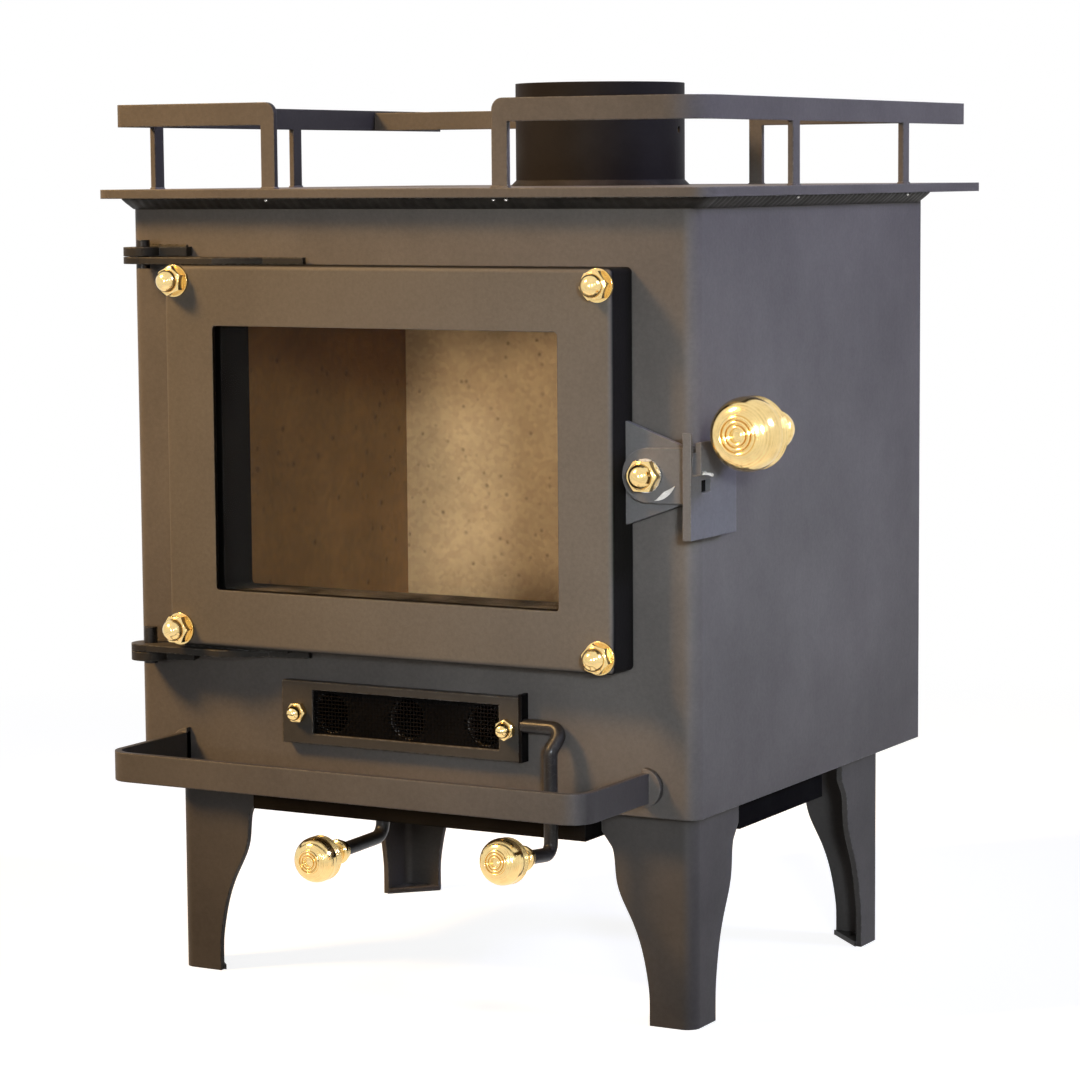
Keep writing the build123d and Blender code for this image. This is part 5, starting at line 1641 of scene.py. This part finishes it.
@dataclass
class Latch(Assembly):
    """Lever latch with its nut, side plate, rod and large knob."""

    finishes: dict[str, Finish] = field(default_factory=lambda: {
        **dict.fromkeys(("latch_arm", "latch_cheek"), LATCH_PAINT),
        **dict.fromkeys(("handle_rod", "latch_bolt"), BLACK_STEEL),
        **dict.fromkeys(("latch_washer", "catch_pin"), BRIGHT_STEEL),
    })
    nut: DomedNut = field(default_factory=lambda: DomedNut(12.4 * MM, 4.2 * MM, 5.3 * MM, 9.0 * MM))
    pivot: tuple[float, float] = (122.7 * MM, 236.7 * MM)
    knob: TurnedKnob = field(default_factory=lambda: TurnedKnob(15.2 * MM, 41.0 * MM))
    rod: tuple[tuple[float, float, float], ...] = (
        (145.0, 18.9, 245.2), (170.6, 21.5, 255.5), (170.6, 14.9, 255.5),
    )
    rod_radius: float = 4.0 * MM
    rod_bend: float = 5.0 * MM
    plate_back: tuple[float, float] = (-18.0, 24.0)
    plate_z: tuple[float, float] = (211.6, 255.2)
    bar_back: float = -16.4
    notch: tuple[float, float] = (-8.6, 237.6)
    groove: tuple[float, float, float, float] = (0.6, 8.0, 236.4, 222.5)
    groove_exit: float = 232.9
    window: tuple[float, float, float, float] = (-8.5, 0.2, 230.2, 235.5)
    # Thickness of the dark sheet that paints shade in the small window
    floor: float = 0.1 * MM
    dash: tuple[tuple[float, float, float], ...] = (
        (146.7, -8.0, 238.3), (146.7, -3.4, 238.0), (146.7, 1.4, 236.9),
    )
    dash_radius: float = 0.8 * MM
    dash_bend: float = 2.0 * MM
    # Painted highlight: bright crescent on the lower right of the pivot eye, where light catches its edge
    highlight_crescent: tuple[float, float, float] = (3.5 * MM, 10.2 * MM, 2.3 * MM)
    highlight_arc: tuple[float, float] = (-88.0, -22.0)
    highlight_steps: int = 24
    highlight_start: float = 0.02
    highlight_least: float = 0.05 * MM
    highlight_tall: float = 0.35 * MM
    layers: tuple[tuple[float, float, float], ...] = (
        (143.0, 144.2, 246.5), (144.2, 145.6, 250.6), (145.6, 146.7, 250.9),
    )

    def window_corners(self, x: float) -> list[Vector]:
        """Corners of the small window of the side plate.

        Args:
            x: Distance across, in millimetres, of the face that it is drawn on.

        Returns:
            The four corners.
        """
        b0, b1, z0, z1 = self.window
        return [spot(x, b, z) for b, z in ((b0, z0), (b1, z0), (b1, z1), (b0, z1))]

    def side_plate(self) -> None:
        """Side plate in three layers: stepped top, blind groove for the catch pin, small window."""
        front, rear = self.plate_back
        low, high = self.plate_z
        notch_back, notch_z = self.notch
        groove_front, groove_rear, groove_top, groove_low = self.groove
        parts = []
        for index, (x0, x1, rear_top) in enumerate(self.layers):
            corners = [(front, low), (front, high), (self.bar_back, high), (self.bar_back, notch_z),
                       (notch_back, notch_z), (notch_back, rear_top), (rear, rear_top)]
            if index < 2:
                corners += [(rear, self.groove_exit), (groove_rear, self.groove_exit),
                            (groove_rear, groove_top), (groove_front, groove_top),
                            (groove_front, groove_low), (rear, groove_low)]
            corners.append((rear, low))
            outline = [spot(x0, b, z) for b, z in corners]
            holes = [self.window_corners(x0)] if index > 0 else []
            parts.append(Shop.plate(outline, holes, Vector(((x1 - x0) * MM, 0, 0))))
        made = Shop.merge(parts)
        Piece("side_plate", Body.LATCH, LATCH_PAINT, "latch_paint", ("latch_cheek",)).set_out(made)

    def shade_and_highlight_bits(self) -> None:
        """Dark sheet at the bottom of the small window as painted shade, bright pin over it and a bright
        crescent under the pivot nut as a painted highlight.
        """
        # Painted shade: a thin dark sheet where the bottom of the small window lies in shadow
        floor = Shop.plate(self.window_corners(self.layers[0][1]), [], Vector((self.floor, 0, 0)))
        Piece("window_shadow_sheet", Body.LATCH, UNDER_PAINT, "latch_paint").set_out(floor)
        dash = Shop.rod([spot(*place) for place in self.dash], self.dash_radius, self.dash_bend)
        # Painted highlight: a bright steel crescent only on the lit lower right of the pivot eye
        shift, radius, width = self.highlight_crescent
        start, end = (math.radians(angle) for angle in self.highlight_arc)
        outer, inner = [], []
        for step in range(self.highlight_steps + 1):
            part = step / self.highlight_steps
            angle = start + (end - start) * part
            wide = width * math.sin(math.pi * max(part, self.highlight_start))
            for row, reach in ((outer, radius), (inner, radius - wide - self.highlight_least)):
                x = self.pivot[0] + shift + reach * math.cos(angle)
                row.append(Vector((x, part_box("latch_washer")[1].y, self.pivot[1] + reach * math.sin(angle))))
        highlight_crescent = Shop.plate(outer + inner[::-1], [], Vector((0, -self.highlight_tall, 0)))
        Piece("bright_pin_and_highlight_crescent", Body.LATCH, BRIGHT_STEEL, "bright_steel").set_out(Shop.merge([dash, highlight_crescent]))

    def make(self) -> None:
        """Makes the side plate, the rod, the pivot nut and the knob."""
        self.side_plate()
        self.shade_and_highlight_bits()
        points = [spot(*place) for place in self.rod]
        rod = Shop.rod(points, self.rod_radius, self.rod_bend)
        Piece("bent_handle", Body.LATCH, BLACK_STEEL, "dark_steel", ("handle_rod",)).set_out(rod)
        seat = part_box("latch_washer")[0].y
        nut = self.nut.set_on([Vector((self.pivot[0], seat, self.pivot[1]))], 0.0)
        Piece("pivot_nut", Body.DOOR, NUT_BRASS, "brass", ("latch_nut",), sharp=28.0).set_out(nut)
        knob = Piece("latch_knob", Body.LATCH, BRASS, "brass", ("door_knob",), sharp=24.0)
        self.knob.set_on(knob, points[-1], 0.0)


@dataclass
class SparkMesh:
    """Woven wire cloth in a flat frame, wires along X and Z."""

    step: float = 1.65 * MM
    wire: float = 0.27 * MM
    sides: int = 5
    bends: int = 4

    def mesh(self, low: Vector, high: Vector) -> bmesh.types.BMesh:
        """Weaves the cloth inside a box.

        Args:
            low: Lowest corner of the box.
            high: Highest corner of the box.

        Returns:
            One mesh of all the wires.
        """
        middle = (low.y + high.y) / 2
        swing = (high.y - low.y) / 2 - self.wire
        wires = []

        def section(_gone: float, _angle: float) -> tuple[float, float]:
            """Half width and half height of a wire."""
            return self.wire, self.wire

        for runs_up in (False, True):
            start, end = (low.z, high.z) if runs_up else (low.x, high.x)
            from_side, to_side = (low.x, high.x) if runs_up else (low.z, high.z)
            count = int((to_side - from_side) / self.step)
            steps = int((end - start) / self.step * self.bends)
            for index in range(count):
                across = from_side + (index + 0.5) * (to_side - from_side) / count
                path = []
                for step in range(steps + 1):
                    along = start + (end - start) * step / steps
                    phase = math.pi * ((along - start) / self.step + index + (1 if runs_up else 0))
                    y = middle + swing * math.cos(phase)
                    path.append(Vector((across, y, along)) if runs_up else Vector((along, y, across)))
                wires.append(Shop.tube(path, section, self.sides))
        return Shop.merge(wires)


@dataclass
class AirControl(Assembly):
    """Front air slider with its frame, mesh, nuts, rod and knob."""

    finishes: dict[str, Finish] = field(default_factory=lambda: {
        "air_frame": FRAME_SHADED_PAINT,
        **dict.fromkeys(("air_slider", "air_rod"), BLACK_STEEL),
        "air_studs": BRIGHT_STEEL,
    })
    nut: DomedNut = field(default_factory=lambda: DomedNut(8.0 * MM, 2.8 * MM, 3.3 * MM, 7.0 * MM))
    studs: tuple[float, float] = (-51.2 * MM, 53.4 * MM)
    level: float = 126.2 * MM
    cloth: SparkMesh = field(default_factory=SparkMesh)
    knob: TurnedKnob = field(default_factory=lambda: TurnedKnob(9.8 * MM, 27.0 * MM))
    rod: tuple[tuple[float, float, float], ...] = (
        (60.3, -3.6, 128.1), (80.0, -3.6, 128.1), (77.0, -10.0, 119.1), (77.0, -10.0, 75.8),
    )
    rod_radius: float = 3.0 * MM
    rod_bend: float = 4.5 * MM
    stem: float = 21.2 * MM
    tilt: float = 6.0
    ports: tuple[float, ...] = (-36.6, 2.1, 40.8)
    port_radius: float = 9.0 * MM
    plate_x: tuple[float, float] = (-57.4 * MM, 59.5 * MM)
    plate_z: tuple[float, float] = (114.3 * MM, 138.1 * MM)
    tab: float = 1.6 * MM
    tab_proud: float = -6.0
    slot: tuple[float, float] = (20.0 * MM, 2.3 * MM)

    def slide_plate(self) -> None:
        """Sliding plate with its ports, stud slots and end tab."""
        low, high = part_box("air_slider")
        face = high.y
        across, up = Vector((1, 0, 0)), Vector((0, 0, 1))
        radius, port = self.port_radius, self.ports[-1] * MM
        holes = [
            Shop.circle(Vector((x * MM, face, self.level)), radius, across, up) for x in self.ports[:-1]
        ]
        travel, half = self.slot
        over, under = self.level + half, self.level - half
        arc = [math.pi / 2 * (1 - step / 6) for step in range(13)]
        left_end, right_end = (
            [Vector((x + half * math.cos(a), face, self.level + half * math.sin(a))) for a in arc]
            for x in self.studs
        )
        left, right = self.plate_x
        foot, head = self.plate_z
        slot = [Vector((left, face, over)), *left_end, Vector((left, face, under))]
        far = self.studs[1] - travel - half
        meet = math.asin(half / radius)
        sweep = [meet + (math.pi - 2 * meet) * step / 20 for step in range(21)]
        top, bottom = (
            [Vector((port + radius * math.cos(a + turn), face, self.level + radius * math.sin(a + turn)))
             for a in sweep]
            for turn in (0.0, math.pi)
        )
        notch = [Vector((far, face, over)), Vector((far, face, under))]
        holes.append([*top, *notch, *bottom, *right_end[::-1]])
        corners = ((left, foot), (right, foot), (right, head), (left, head))
        outline = [Vector((x, face, z)) for x, z in corners] + slot
        plate = Shop.plate(outline, holes, Vector((0, -self.tab, 0)))
        front = back(self.tab_proud)
        corners = ((face, low.z), (front, low.z), (front, high.z), (face, high.z))
        tab = Shop.plate([Vector((right, y, z)) for y, z in corners], [], Vector((self.tab, 0, 0)))
        made = Shop.merge([plate, tab])
        Piece("slide_plate", Body.AIR, UNDER_PAINT, "dark_steel", ("air_slider",)).set_out(made)

    def make(self) -> None:
        """Makes the slide plate, the rod, the nuts, the woven mesh and the knob."""
        self.slide_plate()
        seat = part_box("air_frame")[0].y
        nuts = self.nut.set_on([Vector((x, seat, self.level)) for x in self.studs], 0.5)
        Piece("frame_nuts", Body.STOVE, NUT_BRASS, "brass", ("air_nuts",), sharp=28.0).set_out(nuts)
        cloth = self.cloth.mesh(*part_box("air_mesh"))
        Piece("woven_mesh", Body.STOVE, SPARK_WIRE, "spark_mesh", ("air_mesh",), sharp=60.0).set_out(cloth)
        lean = math.radians(self.tilt)
        points = [spot(*place) for place in self.rod]
        end = points[-1] + Vector((0, -self.stem * math.cos(lean), self.stem * math.sin(lean)))
        rod = Shop.rod([*points, end], self.rod_radius, self.rod_bend)
        Piece("air_handle", Body.AIR, BLACK_STEEL, "dark_steel", ("air_rod",)).set_out(rod)
        knob = Piece("air_pull", Body.AIR, BRASS, "brass", ("air_knob",), sharp=24.0)
        self.knob.set_on(knob, end, self.tilt)


@dataclass
class FloorDamper(Assembly):
    """Damper plate under the floor with its rod and knob."""

    finishes: dict[str, Finish] = field(
        default_factory=lambda: dict.fromkeys(("damper_plate", "damper_rod"), BLACK_STEEL)
    )
    knob: TurnedKnob = field(default_factory=lambda: TurnedKnob(9.8 * MM, 27.0 * MM))
    elbow: Vector = field(default_factory=lambda: Vector((-19.5 * MM, back(12.4), 71.2 * MM)))
    rod_radius: float = 3.0 * MM
    rod_bend: float = 6.0 * MM
    stem: float = 33.7 * MM
    tilt: float = -1.0

    def make(self) -> None:
        """Makes the rod and the knob."""
        lean = math.radians(self.tilt)
        end = self.elbow + Vector((0, -self.stem * math.cos(lean), self.stem * math.sin(lean)))
        top = Vector((self.elbow.x, self.elbow.y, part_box("damper_rod")[1].z))
        rod = Shop.rod([top, self.elbow, end], self.rod_radius, self.rod_bend)
        Piece("damper_handle", Body.DAMPER, BLACK_STEEL, "dark_steel", ("damper_rod",)).set_out(rod)
        knob = Piece("damper_pull", Body.DAMPER, BRASS, "brass", ("damper_knob",), sharp=24.0)
        self.knob.set_on(knob, end, self.tilt)


# Studio


@dataclass
class Lamp:
    """A square soft lamp aimed at the stove."""

    name: str
    place: Vector
    aim: Vector
    size: float
    power: float
    colour: Colour
    spread: float = 180.0

    def hang(self) -> None:
        """Hangs the lamp."""
        data = bpy.data.lights.new(self.name, "AREA")
        data.shape = "SQUARE"
        data.size = self.size
        data.energy = self.power
        data.color = self.colour
        data.spread = math.radians(self.spread)
        lamp = bpy.data.objects.new(self.name, data)
        lamp.location = self.place
        lamp.rotation_euler = (self.aim - self.place).to_track_quat("-Z", "Y").to_euler()
        bpy.context.scene.collection.objects.link(lamp)
        LOG.info("%s: %.0f W", self.name, self.power)


@dataclass
class Studio:
    """Pale floor, white surround, soft lamps and the camera."""

    camera_place: Vector = field(default_factory=lambda: Vector((0.748933, -1.344617, 0.359897)))
    yaw: float = 29.0010
    pitch: float = -6.21654
    roll: float = -0.41624
    lens: float = 112.586
    sensor: float = 36.0
    reach: float = 200.0
    surround: Colour = (1.0, 1.0, 1.0)
    ambient: Colour = (0.065, 0.066, 0.078)
    floor_tone: Colour = (0.50, 0.50, 0.50)
    floor_bounce: Colour = (0.09, 0.088, 0.086)
    floor_glow: float = 0.88
    floor_radius: float = 60.0
    floor_drop: float = 0.0002
    floor_rough: float = 0.9
    floor_gloss: float = 0.1
    near: float = 0.35
    far: float = 0.9
    aim: Vector = field(default_factory=lambda: Vector((0.0, 0.0, 0.22)))

    def build(self) -> None:
        """Sets up the whole studio."""
        self.camera()
        self.world()
        self.floor()
        for lamp in self.lamps():
            lamp.hang()
        bpy.context.scene.view_settings.view_transform = "Standard"

    def lamps(self) -> list[Lamp]:
        """Lists the lamps round the stove.

        Returns:
            The lamps, each with its place, aim, size, power, colour and spread.
        """
        return [
            Lamp("window_lamp", Vector((0.25, -2.4, 0.50)), Vector((0.0, -0.12, 0.36)), 0.4, 0.22,
                 (1.0, 0.95, 0.86), 14.0),
            Lamp("key_lamp", Vector((-0.95, -0.95, 1.35)), Vector((-0.20, -0.12, 0.39)), 0.5, 1.95,
                 (1.0, 0.60, 0.22), 26.0),
            Lamp("side_lamp", Vector((1.9, 0.3, 1.4)), Vector((0.14, 0.0, 0.54)), 0.8, 2.25,
                 (0.56, 0.60, 1.0), 21.0),
            Lamp("edge_lamp", Vector((1.25, -1.75, 0.60)), Vector((0.18, -0.12, 0.21)), 0.25, 0.27,
                 (0.80, 0.90, 1.0), 12.0),
            Lamp("corner_lamp", Vector((2.1, -1.25, 0.9)), self.aim, 0.5, 2.4, (0.86, 0.93, 1.0)),
        ]

    def camera(self) -> None:
        """Camera at the angle of the photograph."""
        yaw, pitch, roll = (math.radians(v) for v in (self.yaw, self.pitch, self.roll))
        ahead = Vector((-math.sin(yaw) * math.cos(pitch), math.cos(yaw) * math.cos(pitch), math.sin(pitch)))
        level = Vector((math.cos(yaw), math.sin(yaw), 0))
        upright = level.cross(ahead)
        right = level * math.cos(roll) + upright * math.sin(roll)
        up = upright * math.cos(roll) - level * math.sin(roll)
        data = bpy.data.cameras.new("camera")
        data.sensor_fit = "HORIZONTAL"
        data.sensor_width = self.sensor
        data.lens = self.lens
        data.clip_end = self.reach
        camera = bpy.data.objects.new("camera", data)
        turn = Matrix((right, up, -ahead)).transposed().to_4x4()
        camera.matrix_world = Matrix.Translation(self.camera_place) @ turn
        bpy.context.scene.collection.objects.link(camera)
        bpy.context.scene.camera = camera

    @staticmethod
    def seen(graph: Graph) -> bpy.types.NodeSocket:
        """Marks rays that show a surface to the eye, straight, mirrored or through glass.

        Args:
            graph: Graph to wire.

        Returns:
            One for such rays, zero for the others.
        """
        path = graph.add("LightPath", {}).outputs
        mirrored = graph.sum("MAXIMUM", path["Is Glossy Ray"], path["Is Transmission Ray"])
        return graph.sum("MAXIMUM", path["Is Camera Ray"], mirrored)

    def world(self) -> None:
        """White surround for the eye, plain grey light for the surfaces."""
        world = bpy.data.worlds.new("surround")
        world.use_nodes = True
        bpy.context.scene.world = world
        graph = Graph(world.node_tree)
        lit = graph.tree.nodes["Background"]
        graph.feed(lit.inputs["Color"], self.ambient)
        white = graph.add("Background", {"Color": self.surround, "Strength": 1.0})
        both = graph.add("MixShader", {0: self.seen(graph), 1: lit.outputs[0], 2: white.outputs[0]})
        graph.feed(graph.tree.nodes["World Output"].inputs["Surface"], both.outputs[0])

    def floor(self) -> None:
        """Pale round floor that keeps the shadow and fades to white."""
        disc = bmesh.new()
        bmesh.ops.create_circle(disc, cap_ends=True, segments=96, radius=self.floor_radius)
        data = bpy.data.meshes.new("floor")
        disc.to_mesh(data)
        disc.free()
        floor = bpy.data.objects.new("floor", data)
        floor.location = (0, 0, -self.floor_drop)
        bpy.context.scene.collection.objects.link(floor)
        material = bpy.data.materials.new("pale_floor")
        material.use_nodes = True
        graph = Graph(material.node_tree)
        shader = graph.tree.nodes["Principled BSDF"]
        shader.inputs["Base Color"].default_value = (*self.floor_tone, 1.0)
        shader.inputs["Roughness"].default_value = self.floor_rough
        shader.inputs["Specular IOR Level"].default_value = self.floor_gloss
        glow = graph.add("Emission", {"Color": self.surround, "Strength": self.floor_glow})
        near = graph.add("AddShader", {0: shader.outputs[0], 1: glow.outputs[0]})
        white = graph.add("Emission", {"Color": self.surround, "Strength": 1.0})
        away = graph.add("VectorMath", {0: graph.place()}, operation="LENGTH").outputs["Value"]
        fade = graph.span(away, self.near, self.far)
        shown = graph.add("MixShader", {0: fade, 1: near.outputs[0], 2: white.outputs[0]})
        dim = graph.add("BsdfDiffuse", {"Color": self.floor_bounce})
        both = graph.add("MixShader", {0: self.seen(graph), 1: dim.outputs[0], 2: shown.outputs[0]})
        graph.feed(graph.tree.nodes["Material Output"].inputs["Surface"], both.outputs[0])
        data.materials.append(material)


def plain(box: object) -> list[list[float]]:
    """Corners of a box as plain lists."""
    return [[float(value) for value in corner] for corner in box]


def main() -> None:
    """Builds the sub-assemblies and the studio in order."""
    logging.basicConfig(level=logging.INFO, format="%(message)s")
    for assembly in (Carcass(), Firebox(), Door(), Latch(), AirControl(), FloorDamper()):
        LOG.info("building %s", type(assembly).__name__)
        assembly.build()
    Studio().build()


if __name__ == "__main__":
    main()
